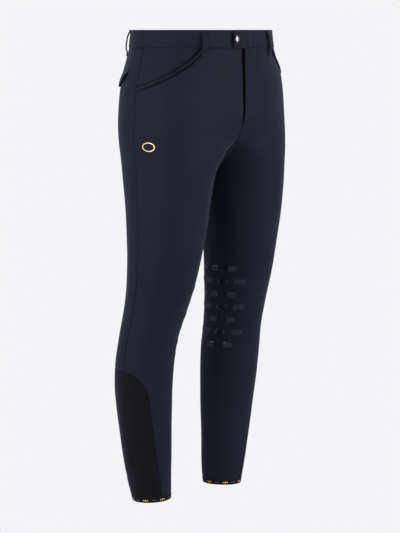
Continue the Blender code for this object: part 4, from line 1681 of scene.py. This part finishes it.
def tab_rounds():
    """Rounds of the left band's columns, from the tab's tip, and how far its corners are cut off."""
    middle = WAIST_SEAM / 2
    tip = round_at_x(middle, -TAB_PAST_CENTRE)[0]
    corner_end = round_at_x(middle, TAB_CORNER - TAB_PAST_CENTRE)[0]
    rounds = np.concatenate([
        corner_end + (tip - corner_end) * np.sin(np.linspace(math.pi / 2, 0.0, 12)),
        steps_between(corner_end, 1.0, 456.0, step=4.0, fine_first=False)[1:],
    ])
    gone = np.clip((corner_end - rounds) / (corner_end - tip), 0.0, 1.0)
    return rounds, TAB_CORNER * (1 - np.sqrt(1 - (TAB_BLUNTNESS * gone) ** 2))


def make_waistband():
    """Two bands that meet at the centre back. The left one runs on over the right as the tab."""
    shares = steps_between(0.0, 1.0, -WAIST_SEAM, step=3.2)
    right = steps_between(0.0, 1.0, 432.0, step=4.0)
    left, cut = tab_rounds()
    middle = WAIST_SEAM / 2
    for node_name, side, out, rows in (
        ("waistband_right", -1, waistband_out, [row_of(right, WAIST_SEAM * s) for s in shares]),
        ("waistband_left", 1, tab_out,
         [row_of(left, middle + (-middle - cut) * (1 - 2 * s)) for s in shares]),
    ):
        cloth_sheet(node_name, side, rows, WAISTBAND, out=out, roll=0.3, edge=0.9)


# Low relief across the fly: the ridge of the fold under it, how it thins past its stitches, and the
# fullness of its folded edge
FLY_RIDGE, FLY_RIDGE_WIDTH = 0.22, 1.6
FLY_THINNING, FLY_THINS_FROM = 1.25, 0.84
FLY_EDGE_FULLNESS, FLY_EDGE_SHARE = 0.25, 0.3
FLY_FOOT_ROUND = 0.97


def fly_width(heights):
    down = np.clip((FLY_FOOT + FLY_CURVE - heights) / FLY_CURVE, 0.0, 1.0)
    return np.sqrt(1 - down**2)


def fly_heights(first, last, count):
    """Heights down the curve of the fly's foot, closer together towards its end."""
    angle = np.linspace(0.0, math.pi / 2, count)[1:]
    return np.concatenate([first, FLY_FOOT + FLY_CURVE * (1 - np.sin(last * angle))])


def fly_out(rounds, heights):
    """The fly is thick at its folded edge and thins away past its row of stitches."""
    points = surface_points(rounds, heights)
    x = points[:, 0]
    share = x / np.maximum(FLY_WIDTH * fly_width(heights), 0.1)
    full = FLY_LAYER + SEAM_GAP + FLY_FURROW * fly_furrow(1, points)
    ridge = FLY_RIDGE * np.exp(-(((x - FLY_FOLD) / FLY_RIDGE_WIDTH) ** 2))
    thinned = full - FLY_THINNING * ease(FLY_THINS_FROM, 1.0, share) - ridge
    return thinned + FLY_EDGE_FULLNESS * ease(FLY_EDGE_SHARE, 0.0, share)


def make_fly():
    top = steps_between(WAIST_SEAM + TUCK, FLY_FOOT + FLY_CURVE, 102.0, fine_last=False)
    heights = fly_heights(top, FLY_FOOT_ROUND, 22)
    first = round_at_x(heights, -FLY_OVERHANG)
    last = round_at_x(heights, FLY_WIDTH * fly_width(heights))
    shares = steps_between(0.0, 1.0, FLY_WIDTH + FLY_OVERHANG, step=1.6)
    rows = [
        row_of(a + (b - a) * shares, height) for a, b, height in zip(first, last, heights)
    ]
    cloth_sheet("fly_front", 1, rows, FLY_LAYER, out=fly_out, roll=0.0, pucker=0.06, edge=0.5)


# A belt loop's two long ridges, each a (middle, width) across it from -1 to 1, the ridges' height,
# how its edges sink, and how much narrower it is where it bows
LOOP_RIDGES = ((-0.52, 0.2), (0.4, 0.24))
LOOP_RIDGE = 0.32
LOOP_EDGE_SINK = 0.30
LOOP_WAIST = 0.10


def loop_half_width(place):
    """Half a belt loop's width, in rounds."""
    step = 0.005
    ends = surface_points(place.round + np.array([step, -step]), np.full(2, WAIST_SEAM / 2))
    return LOOP_WIDTH / 2 * 2 * step / np.linalg.norm(ends[0] - ends[1])


def loop_out(heights):
    return table_at(LOOP_PROFILE, heights)["out"]


def make_belt_loop(place):
    """A strap bowed out for a belt, a little narrower where it bows."""
    shares = np.concatenate([[-1, -0.93], np.linspace(-0.84, 0.84, 19), [0.93, 1]])
    foot = LOOP_PROFILE[-1].height
    rows = []
    for height in np.linspace(0.0, foot, 45):
        width = loop_half_width(place) * (1 - LOOP_WAIST * math.sin(height / foot * math.pi))
        rows.append(row_of(place.round + width * shares, height))
    ridges = sum(np.exp(-(((shares - middle) / width) ** 2)) for middle, width in LOOP_RIDGES)
    fold = np.tile(LOOP_RIDGE * ridges - LOOP_EDGE_SINK * np.abs(shares) ** 4, len(rows))
    cloth_sheet(
        place.name, place.side, rows, LOOP_LAYER, roll=0.15, edge=0.45, pucker=0.0,
        out=lambda rounds, heights: loop_out(heights) + fold,
    )


# --------------------------------------------------------------------------- trims

OVAL_OUT = 0.02
OVAL_EDGE = 0.42


def lay_on_cloth(piece, side, arc, height, out=0.0):
    """Bends a flat piece onto the cloth. Its X runs to the right as the cloth is seen, its Y up and
    its Z out, in metres from the given arc and height."""
    flat = vertex_array(piece) / MM
    heights = height + flat[:, 1]
    rounds = round_at_arc(arc - side * flat[:, 0], heights)
    points, _ = cloth_places(side, rounds, heights, flat[:, 2] + out)
    set_vertices(piece, points)


def make_thigh_oval():
    """A plain gold oval ring."""
    piece = new_primitive(
        bpy.ops.mesh.primitive_circle_add, vertices=96, radius=0.5, fill_type="NGON"
    )
    piece.name = "thigh_oval_print"
    set_vertices(piece, vertex_array(piece) * (OVAL_LENGTH * MM, OVAL_HEIGHT * MM, 1))
    in_edit_mode(
        piece,
        lambda: bpy.ops.mesh.inset(thickness=OVAL_LINE * MM, use_even_offset=True),
        lambda: bpy.ops.mesh.delete(type="FACE"),
    )
    apply_modifier(piece, "SOLIDIFY", thickness=(OVAL_LAYER + SEAM_GAP) * MM, offset=1.0)
    apply_modifier(
        piece, "BEVEL", width=OVAL_EDGE * MM, segments=4, limit_method="ANGLE",
        angle_limit=math.radians(60),
    )
    lay_on_cloth(piece, -1, OVAL_FROM_SIDE_SEAM, OVAL_CENTRE_HEIGHT, OVAL_OUT)
    smooth(piece, 60)
    piece.data.materials.append(gold_material())
    settle(piece, "thigh_oval")


# The painted highlight on the button, an oval of bright steel in near-black metal: its half width
# and half height as shares of the button's radius, and how far it lies to the right of the centre
BUTTON_PAINTED_HIGHLIGHT = (0.28, 0.90)
BUTTON_HIGHLIGHT_OFF = 0.12

# The button from the middle of its foot round to the middle of its dome, as shares of its size
ProfilePoint = namedtuple("ProfilePoint", "radius height")
BUTTON_PROFILE = table_of(
    ProfilePoint,
    (0.00, 0.00), (0.72, 0.00), (0.88, 0.08), (0.97, 0.24), (1.00, 0.46), (0.985, 0.66),
    (0.93, 0.80), (0.86, 0.855), (0.79, 0.84), (0.745, 0.77), (0.71, 0.735), (0.675, 0.77),
    (0.63, 0.84), (0.54, 0.905), (0.42, 0.955), (0.28, 0.985), (0.14, 0.997), (0.00, 1.00),
)


def button_frame():
    """Where the button sits: its seat, and a matrix whose Z is the way out."""
    height = one(WAIST_SEAM / 2)
    rounds = round_at_x(height, -BUTTON_FROM_CENTRE)
    points, normals = cloth_places(1, rounds, height, TAB_OUT + SEAM_GAP)
    way = Vector(normals[0])
    across = way.cross(Vector((0, 0, 1))).normalized()
    turn = Matrix((across, way.cross(across), way)).transposed().to_4x4()
    return Matrix.Translation(Vector(points[0])) @ turn


def make_button():
    """A turned metal button: a rolled rim, a groove and a low dome."""
    profile = [
        (point.radius * BUTTON_RADIUS * MM, 0.0, point.height * BUTTON_HEIGHT * MM)
        for point in BUTTON_PROFILE
    ]
    edges = [(k, k + 1) for k in range(len(profile) - 1)]
    piece = new_piece("waist_button_metal", profile, [], edges)
    sides = bpy.context.scene.breeches_trims.button_sides
    in_edit_mode(
        piece,
        lambda: bpy.ops.mesh.subdivide(number_cuts=2, smoothness=0.0),
        lambda: bpy.ops.mesh.spin(
            steps=sides, angle=2 * math.pi, center=(0, 0, 0), axis=(0, 0, 1)
        ),
        lambda: bpy.ops.mesh.select_all(action="SELECT"),
        lambda: bpy.ops.mesh.remove_doubles(threshold=0.000005),
        lambda: bpy.ops.mesh.normals_make_consistent(inside=False),
    )
    # Distance from the middle of the painted highlight's oval, 1 at its edge
    off = vertex_array(piece)[:, :2] / (BUTTON_RADIUS * MM) - (BUTTON_HIGHLIGHT_OFF, 0)
    set_values(piece, "from_middle", np.linalg.norm(off / BUTTON_PAINTED_HIGHLIGHT, axis=1))
    piece.data.transform(button_frame())
    smooth(piece, 50)
    piece.data.materials.append(steel_material())
    settle(piece, "waist_button")


# How a pad draws in at its corners and ends, how much it thins to its edge, and its hidden base
PAD_CORNERS, PAD_ENDS = 0.26, 0.10
PAD_EDGE_THINS = 0.75
PAD_BASE = 0.5
PAD_OUT = 0.05


def grip_pad():
    """One flat pad with rounded six-sided ends and a soft edge."""
    pad = new_primitive(
        bpy.ops.mesh.primitive_grid_add, x_subdivisions=16, y_subdivisions=8, size=2.0
    )
    across, up, _ = vertex_array(pad).T
    x = across * (1 - PAD_CORNERS * np.abs(up) ** 1.6) * GRIP_LENGTH / 2
    y = up * (1 - PAD_ENDS * np.abs(across) ** 6) * GRIP_HEIGHT / 2
    to_edge = np.maximum(np.abs(across), np.abs(up))
    z = GRIP_THICK * (1 - PAD_EDGE_THINS * to_edge**8)
    set_vertices(pad, np.column_stack([x, y, z]) * MM)
    apply_modifier(pad, "SOLIDIFY", thickness=PAD_BASE * MM, offset=-1.0)
    return pad


def make_knee_grip(side):
    """Staggered rows of silicone pads inside the knee."""
    pad = grip_pad()
    pads = []
    for row in GRIP_ROWS:
        middle = arc_at(one(GRIP_MIDDLE), one(row.height))[0]
        for number in range(row.count):
            arc = middle + (number - (row.count - 1) / 2) * GRIP_PITCH
            copy = pad.copy()
            copy.data = pad.data.copy()
            bpy.context.scene.collection.objects.link(copy)
            lay_on_cloth(copy, side, arc, row.height, PAD_OUT)
            pads.append(copy)
    bpy.data.objects.remove(pad)
    piece = joined(f"knee_grip_{SIDE_NAMES[side]}", pads)
    smooth(piece, 50)
    piece.data.materials.append(grip_material())
    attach(piece, "root")


# --------------------------------------------------------------------------- sewing

# How far each row of stitches lies from its seam or edge. The pocket's is a share of its mouth.
SIDE_SEAM_STITCHES = 2.6
CALF_STITCHES = 2.2
HEM_STITCHES = 1.7
CENTRE_STITCHES = 2.4
FLAP_STITCHES = 3.0
FLAP_TOP_STITCHES = 2.6
POCKET_STITCHES = 0.006

# The cloth's length from centre front to centre back at the height of the flap
HALF_GIRTH = 460.0

# How far the thread lies off the cloth, the flap and the fly
THREAD_OUT = 0.05
FLAP_THREAD_OUT = 0.02
FLY_THREAD_OUT = 0.04

# Stitches: the share of its pitch that one covers, and how flat it is
STITCH_COVERS = 0.86
STITCH_FLATNESS = 0.8

# Close stitches that lie across their run, in metres
TACK_WIDTH = 0.00042
BARTACK_PITCH = 0.00050
BARTACK_LENGTH = 0.0017
BUTTONHOLE_PITCH = 0.00052
BUTTONHOLE_LENGTH = 0.0017

# The slot of the buttonhole: half its straight part, and the radius of its ends
SLOT_HALF = 5.8
SLOT_RADIUS = 1.4


def stitch_shape():
    """Vertices and faces of one stitch: a short rounded thread along X, 1 long, 1 wide."""
    bead = new_primitive(
        bpy.ops.mesh.primitive_uv_sphere_add, segments=6, ring_count=5, radius=0.5
    )
    points = vertex_array(bead)[:, [2, 0, 1]]
    points[:, 0] = np.sign(points[:, 0]) * np.abs(points[:, 0] * 2) ** 0.8 / 2
    faces = [tuple(polygon.vertices) for polygon in bead.data.polygons]
    bpy.data.objects.remove(bead)
    return points, faces


def run_on_cloth(side, places, aside=0.0, out=THREAD_OUT):
    """A line for stitches: its points, in metres, and the way out at each. aside moves it along the
    cloth, to the right of its direction as the cloth is seen."""
    points, normals = cloth_places(side, *places.T, out)
    ways = np.gradient(points, axis=0)
    ways /= np.linalg.norm(ways, axis=1)[:, None]
    return points + np.cross(ways, normals) * aside * MM, normals


def stitch_stops(line, normals, pitch):
    """Where each stitch of a run lies: its middle, the way it runs and the way out."""
    steps = np.linalg.norm(np.diff(line, axis=0), axis=1)
    gone = np.concatenate([[0.0], np.cumsum(steps)])
    count = max(1, int(gone[-1] / pitch))
    for stop in (np.arange(count) + 0.5) * gone[-1] / count:
        low, high = max(stop - pitch / 2, 0.0), min(stop + pitch / 2, gone[-1])
        start, end, place, way_out = (
            np.array([np.interp(at, gone, values[:, k]) for k in range(3)])
            for at, values in ((low, line), (high, line), (stop, line), (stop, normals))
        )
        yield place, (end - start) / np.linalg.norm(end - start), way_out


def sew(name, runs, length=None, width=None, pitch=None, turned=False):
    """Stitches along runs of points, as one piece. turned sets each stitch across its run."""
    trims = bpy.context.scene.breeches_trims
    pitch = pitch or trims.stitch_pitch
    length = length or pitch * STITCH_COVERS
    width = width or trims.thread_width
    shape, shape_faces = stitch_shape()
    shape = shape * (length, width, width * STITCH_FLATNESS)
    points, faces = [], []
    for line, normals in runs:
        for place, along, way_out in stitch_stops(line, normals, pitch):
            across = np.cross(way_out, along)
            across /= np.linalg.norm(across)
            if turned:
                along, across = across, along
            axes = np.array([along, across, np.cross(along, across)])
            if axes[2] @ way_out < 0:
                axes[1:] = -axes[1:]
            first = len(points) * len(shape)
            points.append(shape @ axes + place)
            faces.extend(tuple(first + k for k in face) for face in shape_faces)
    piece = new_piece(name, np.concatenate(points), faces)
    smooth(piece, 80)
    piece.data.materials.append(thread_material())
    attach(piece, "root")


def straight(first, last, count=40):
    """Places in a straight line on the cloth, from one (round, height) to another."""
    return np.linspace(np.array(first, float), np.array(last, float), count)


def sew_legs(side):
    name = SIDE_NAMES[side]
    side_seam = straight((0.5, WAIST_SEAM - 2.0), (0.5, CALF_TOP + 1.5), 160)
    sew(f"leg_seam_stitches_{name}", [run_on_cloth(side, side_seam, SIDE_SEAM_STITCHES * side)])
    heights = np.linspace(CALF_CORNER, HEM_LINE, 60)
    front, back = (
        row_of(rounds, tilted(rounds, heights))
        for rounds in (calf_edge("front", heights), calf_edge("back", heights))
    )
    dome = calf_top_row(np.linspace(CALF_CORNER_FRONT + 0.004, CALF_CORNER_BACK - 0.004, 60))
    sew(f"calf_seam_stitches_{name}", [
        run_on_cloth(side, places, aside * side)
        for places, aside in ((front, CALF_STITCHES), (back, -CALF_STITCHES), (dome, CALF_STITCHES))
    ])
    tape = level_row(np.linspace(0.0, 1.0, 120), HEM_LINE - HEM_STITCHES)
    sew(f"hem_stitches_{name}", [run_on_cloth(side, tape, out=TAPE_OUT + THREAD_OUT)])


def flap_border():
    """Places just inside the flap's two ends and its free edge."""
    inset = FLAP_STITCHES / HALF_GIRTH
    rounds = np.linspace(FLAP_FROM + inset, FLAP_TO - inset, 70)
    top = FLAP_TOP - 1
    foot = row_of(rounds, np.minimum(flap_foot(rounds) + FLAP_STITCHES, top))
    first = straight((rounds[0], top), foot[0], 8)
    last = straight(foot[-1], (rounds[-1], top), 8)
    return np.concatenate([first, foot[1:-1], last])


def sew_pockets(side):
    name = SIDE_NAMES[side]
    mouth = pocket_places(np.linspace(0.10, 0.985, 80), PIPING_SPAN[1] + POCKET_STITCHES)
    sew(f"pocket_stitches_{name}", [run_on_cloth(side, mouth)])
    height = FLAP_TOP - FLAP_TOP_STITCHES
    top = straight((FLAP_FROM + 0.006, height), (FLAP_TO - 0.006, height))
    sew(f"flap_stitches_{name}", [
        run_on_cloth(side, places, out=flap_out(*places.T) + FLAP_THREAD_OUT)
        for places in (flap_border(), top)
    ])


def sew_fly():
    heights = fly_heights(np.linspace(WAIST_SEAM - 2, FLY_FOOT + FLY_CURVE, 40), 0.93, 40)
    rounds = round_at_x(heights, FLY_STITCH * fly_width(heights))
    out = fly_out(rounds, heights) + FLY_THREAD_OUT
    sew("fly_stitches", [run_on_cloth(1, row_of(rounds, heights), out=out)])


# The two heights at which a belt loop is tacked, and how far the thread lies off it
LOOP_TACKS = (-2.6, -48.5)
TACK_OUT = 0.1


def bartack_run(side, arc, height, out, length, upright=False):
    """A short line for close stitches, about that arc and height."""
    along = np.linspace(-length / 2, length / 2, 9)
    arcs, heights = arc + along * (not upright), height + along * upright
    return run_on_cloth(side, row_of(round_at_arc(arcs, heights), heights), out=out)


def sew_bartacks():
    """Close stitches where the strain is: pocket ends, fly foot and belt loops."""
    runs = []
    for side in SIDE_NAMES:
        height = WAIST_SEAM - POCKET_DROP - 1.5
        runs.append(bartack_run(side, arc=8.0, height=height, out=1.9, length=7.0))
        arc, height = POCKET_WIDTH + 3.0, WAIST_SEAM - 5.5
        runs.append(bartack_run(side, arc, height, out=0.35, length=7.0, upright=True))
    for place in LOOP_PLACES:
        for height in LOOP_TACKS:
            arc = arc_at(one(place.round), one(height))[0]
            out = loop_out(one(height))[0] + TACK_OUT
            runs.append(bartack_run(place.side, arc, height, out, length=LOOP_WIDTH - 2.6))
    height = FLY_FOOT + 3.0
    arc = arc_at(round_at_x(height, 3.0), one(height))[0]
    runs.append(bartack_run(1, arc, height, FLY_LAYER + SEAM_GAP + TACK_OUT, length=9.0))
    sew("bartack_stitches", runs, BARTACK_LENGTH, TACK_WIDTH, BARTACK_PITCH, turned=True)


def sew_buttonhole():
    """The stitched slot that the button passes through, which shows as a rim beside it."""
    seat = button_frame()
    points = []
    for angle in 2 * math.pi * np.arange(49) / 48:
        x = math.copysign(SLOT_HALF, math.cos(angle)) + SLOT_RADIUS * math.cos(angle)
        y = SLOT_RADIUS * math.sin(angle)
        points.append(seat @ Vector((x * MM, y * MM, -SEAM_GAP * MM)))
    run = (np.array(points), np.tile(seat.to_3x3() @ Vector((0, 0, 1)), (49, 1)))
    sew("buttonhole_stitches", [run], BUTTONHOLE_LENGTH, TACK_WIDTH, BUTTONHOLE_PITCH, turned=True)


def sew_centre_seams():
    back = straight((1, WAIST_SEAM - 2), (1, CROTCH + 3), 60)
    front = straight((0, FLY_FOOT - 4), (0, CROTCH + 3), 24)
    sew("centre_seam_stitches", [
        run_on_cloth(side, places, -CENTRE_STITCHES) for side, places in ((1, back), (-1, front))
    ])


# --------------------------------------------------------------------------- stage


FLOOR_RADIUS = 30.0
CAMERA_CLIP = 100.0
FILM_WIDTH = 36.0


def make_camera(stage):
    camera = bpy.data.cameras.new("Camera")
    camera.lens = stage.lens
    camera.sensor_width = FILM_WIDTH
    camera.clip_end = CAMERA_CLIP
    piece = bpy.data.objects.new("Camera", camera)
    bpy.context.scene.collection.objects.link(piece)
    back = Vector((math.sin(stage.azimuth), -math.cos(stage.azimuth), 0))
    piece.location = back * stage.distance
    look = Matrix.Rotation(stage.azimuth + stage.pan, 4, "Z") @ Matrix.Rotation(
        math.pi / 2 - stage.tilt, 4, "X"
    )
    piece.rotation_euler = look.to_euler()
    bpy.context.scene.camera = piece


def make_lamp(lamp, camera_azimuth, share):
    """A large soft lamp that looks at the middle of the garment."""
    azimuth = camera_azimuth + math.radians(lamp.azimuth)
    up = math.radians(lamp.elevation)
    way = Vector((math.sin(azimuth) * math.cos(up), -math.cos(azimuth) * math.cos(up), math.sin(up)))
    place = Vector((0, 0, LAMPS_LOOK_AT)) + way * LAMP_DISTANCE
    bpy.ops.object.light_add(type="AREA", location=place)
    made = bpy.context.object
    made.name = lamp.name
    made.data.size = LAMP_SIZE
    made.data.energy = lamp.power * share
    made.rotation_euler = way.to_track_quat("Z", "Y").to_euler()


def make_world(stage):
    world = bpy.data.worlds.new("Studio")
    bpy.context.scene.world = world
    world.use_nodes = True
    tree = world.node_tree
    tree.nodes.clear()
    around, plain = (node(tree, "ShaderNodeBackground") for _ in range(2))
    feed_all(around, Color=(1, 1, 1), Strength=stage.ambient)
    feed_all(plain, Color=stage.backdrop)
    result = node(tree, "ShaderNodeOutputWorld")
    feed_all(result, Surface=camera_sees(tree, around.outputs[0], plain.outputs[0]))
    arrange(tree)


def make_floor(stage):
    floor = new_primitive(
        bpy.ops.mesh.primitive_circle_add, vertices=96, radius=FLOOR_RADIUS, fill_type="NGON",
        location=(0, 0, stage.floor),
    )
    floor.name = "studio_floor"
    floor.data.materials.append(floor_material())


def make_stage():
    scene = bpy.context.scene
    stage = scene.breeches_stage
    scene.view_settings.view_transform = "Standard"
    make_camera(stage)
    make_world(stage)
    make_floor(stage)
    for lamp in LAMPS:
        make_lamp(lamp, stage.azimuth, stage.lamps)


# --------------------------------------------------------------------------- operators


def on_both_sides(*makers):
    for side in SIDE_NAMES:
        for make in makers:
            make(side)


class BREECHES_OT_stage(Operator):
    """Make the camera, lamps, floor and backdrop"""

    bl_idname = "breeches.stage"
    bl_label = "Stage"

    def execute(self, context):
        make_stage()
        return {"FINISHED"}


class BREECHES_OT_leg_panels(Operator):
    """Make the front and back panels and the calf inserts of both legs"""

    bl_idname = "breeches.leg_panels"
    bl_label = "Leg Panels"

    def execute(self, context):
        on_both_sides(make_leg_panels)
        return {"FINISHED"}


class BREECHES_OT_hem_tapes(Operator):
    """Make the tape round each hem"""

    bl_idname = "breeches.hem_tapes"
    bl_label = "Hem Tapes"

    def execute(self, context):
        on_both_sides(make_hem_tape)
        return {"FINISHED"}


class BREECHES_OT_pockets(Operator):
    """Make the front pocket facings and rolled mouths, and the back pocket flaps"""

    bl_idname = "breeches.pockets"
    bl_label = "Pockets"

    def execute(self, context):
        on_both_sides(make_pocket_facing, make_pocket_piping, make_back_flap)
        return {"FINISHED"}


class BREECHES_OT_waistband(Operator):
    """Make both halves of the waistband, with the tab"""

    bl_idname = "breeches.waistband"
    bl_label = "Waistband"

    def execute(self, context):
        make_waistband()
        return {"FINISHED"}


class BREECHES_OT_fly(Operator):
    """Make the front layer of the fly"""

    bl_idname = "breeches.fly"
    bl_label = "Fly"

    def execute(self, context):
        make_fly()
        return {"FINISHED"}


class BREECHES_OT_belt_loops(Operator):
    """Make the five belt loops"""

    bl_idname = "breeches.belt_loops"
    bl_label = "Belt Loops"

    def execute(self, context):
        for place in LOOP_PLACES:
            make_belt_loop(place)
        return {"FINISHED"}


class BREECHES_OT_button(Operator):
    """Make the metal button on the tab"""

    bl_idname = "breeches.button"
    bl_label = "Button"

    def execute(self, context):
        make_button()
        return {"FINISHED"}


class BREECHES_OT_thigh_oval(Operator):
    """Make the gold oval ring on the right thigh"""

    bl_idname = "breeches.thigh_oval"
    bl_label = "Thigh Oval"

    def execute(self, context):
        make_thigh_oval()
        return {"FINISHED"}


class BREECHES_OT_knee_grip(Operator):
    """Make the silicone pads inside both knees"""

    bl_idname = "breeches.knee_grip"
    bl_label = "Knee Grip"

    def execute(self, context):
        on_both_sides(make_knee_grip)
        return {"FINISHED"}


class BREECHES_OT_sewing(Operator):
    """Sew every seam, hem, bartack and buttonhole"""

    bl_idname = "breeches.sewing"
    bl_label = "Sewing"

    def execute(self, context):
        on_both_sides(sew_legs, sew_pockets)
        sew_fly()
        sew_buttonhole()
        sew_bartacks()
        sew_centre_seams()
        return {"FINISHED"}


class BREECHES_OT_cloth_facts(Operator):
    """Do nothing: the flat cut of the sheets of cloth is not stated"""

    bl_idname = "breeches.cloth_facts"
    bl_label = "Cloth Facts"

    def execute(self, context):
        return {"FINISHED"}


SETTINGS = {
    "breeches_cloth": BreechesCloth,
    "breeches_trims": BreechesTrims,
    "breeches_stage": BreechesStage,
}

OPERATORS = (
    BREECHES_OT_stage,
    BREECHES_OT_leg_panels,
    BREECHES_OT_hem_tapes,
    BREECHES_OT_pockets,
    BREECHES_OT_waistband,
    BREECHES_OT_fly,
    BREECHES_OT_belt_loops,
    BREECHES_OT_button,
    BREECHES_OT_thigh_oval,
    BREECHES_OT_knee_grip,
    BREECHES_OT_sewing,
    BREECHES_OT_cloth_facts,
)


class BREECHES_PT_sidebar(Panel):
    """Settings and steps of the breeches"""

    bl_idname = "BREECHES_PT_sidebar"
    bl_label = "Riding Breeches"
    bl_space_type = "VIEW_3D"
    bl_region_type = "UI"
    bl_category = "Breeches"

    def draw(self, context):
        for name, group in SETTINGS.items():
            box = self.layout.box()
            for setting in group.__annotations__:
                box.prop(getattr(context.scene, name), setting)
        for operator in OPERATORS:
            self.layout.operator(operator.bl_idname)


CLASSES = (*SETTINGS.values(), *OPERATORS, BREECHES_PT_sidebar)


def register():
    for each in CLASSES:
        bpy.utils.register_class(each)
    for name, group in SETTINGS.items():
        setattr(bpy.types.Scene, name, PointerProperty(type=group))


def unregister():
    for name in SETTINGS:
        delattr(bpy.types.Scene, name)
    for each in reversed(CLASSES):
        bpy.utils.unregister_class(each)


def main():
    register()
    for operator in OPERATORS:
        group, name = operator.bl_idname.split(".")
        getattr(getattr(bpy.ops, group), name)()


if __name__ == "__main__":
    main()
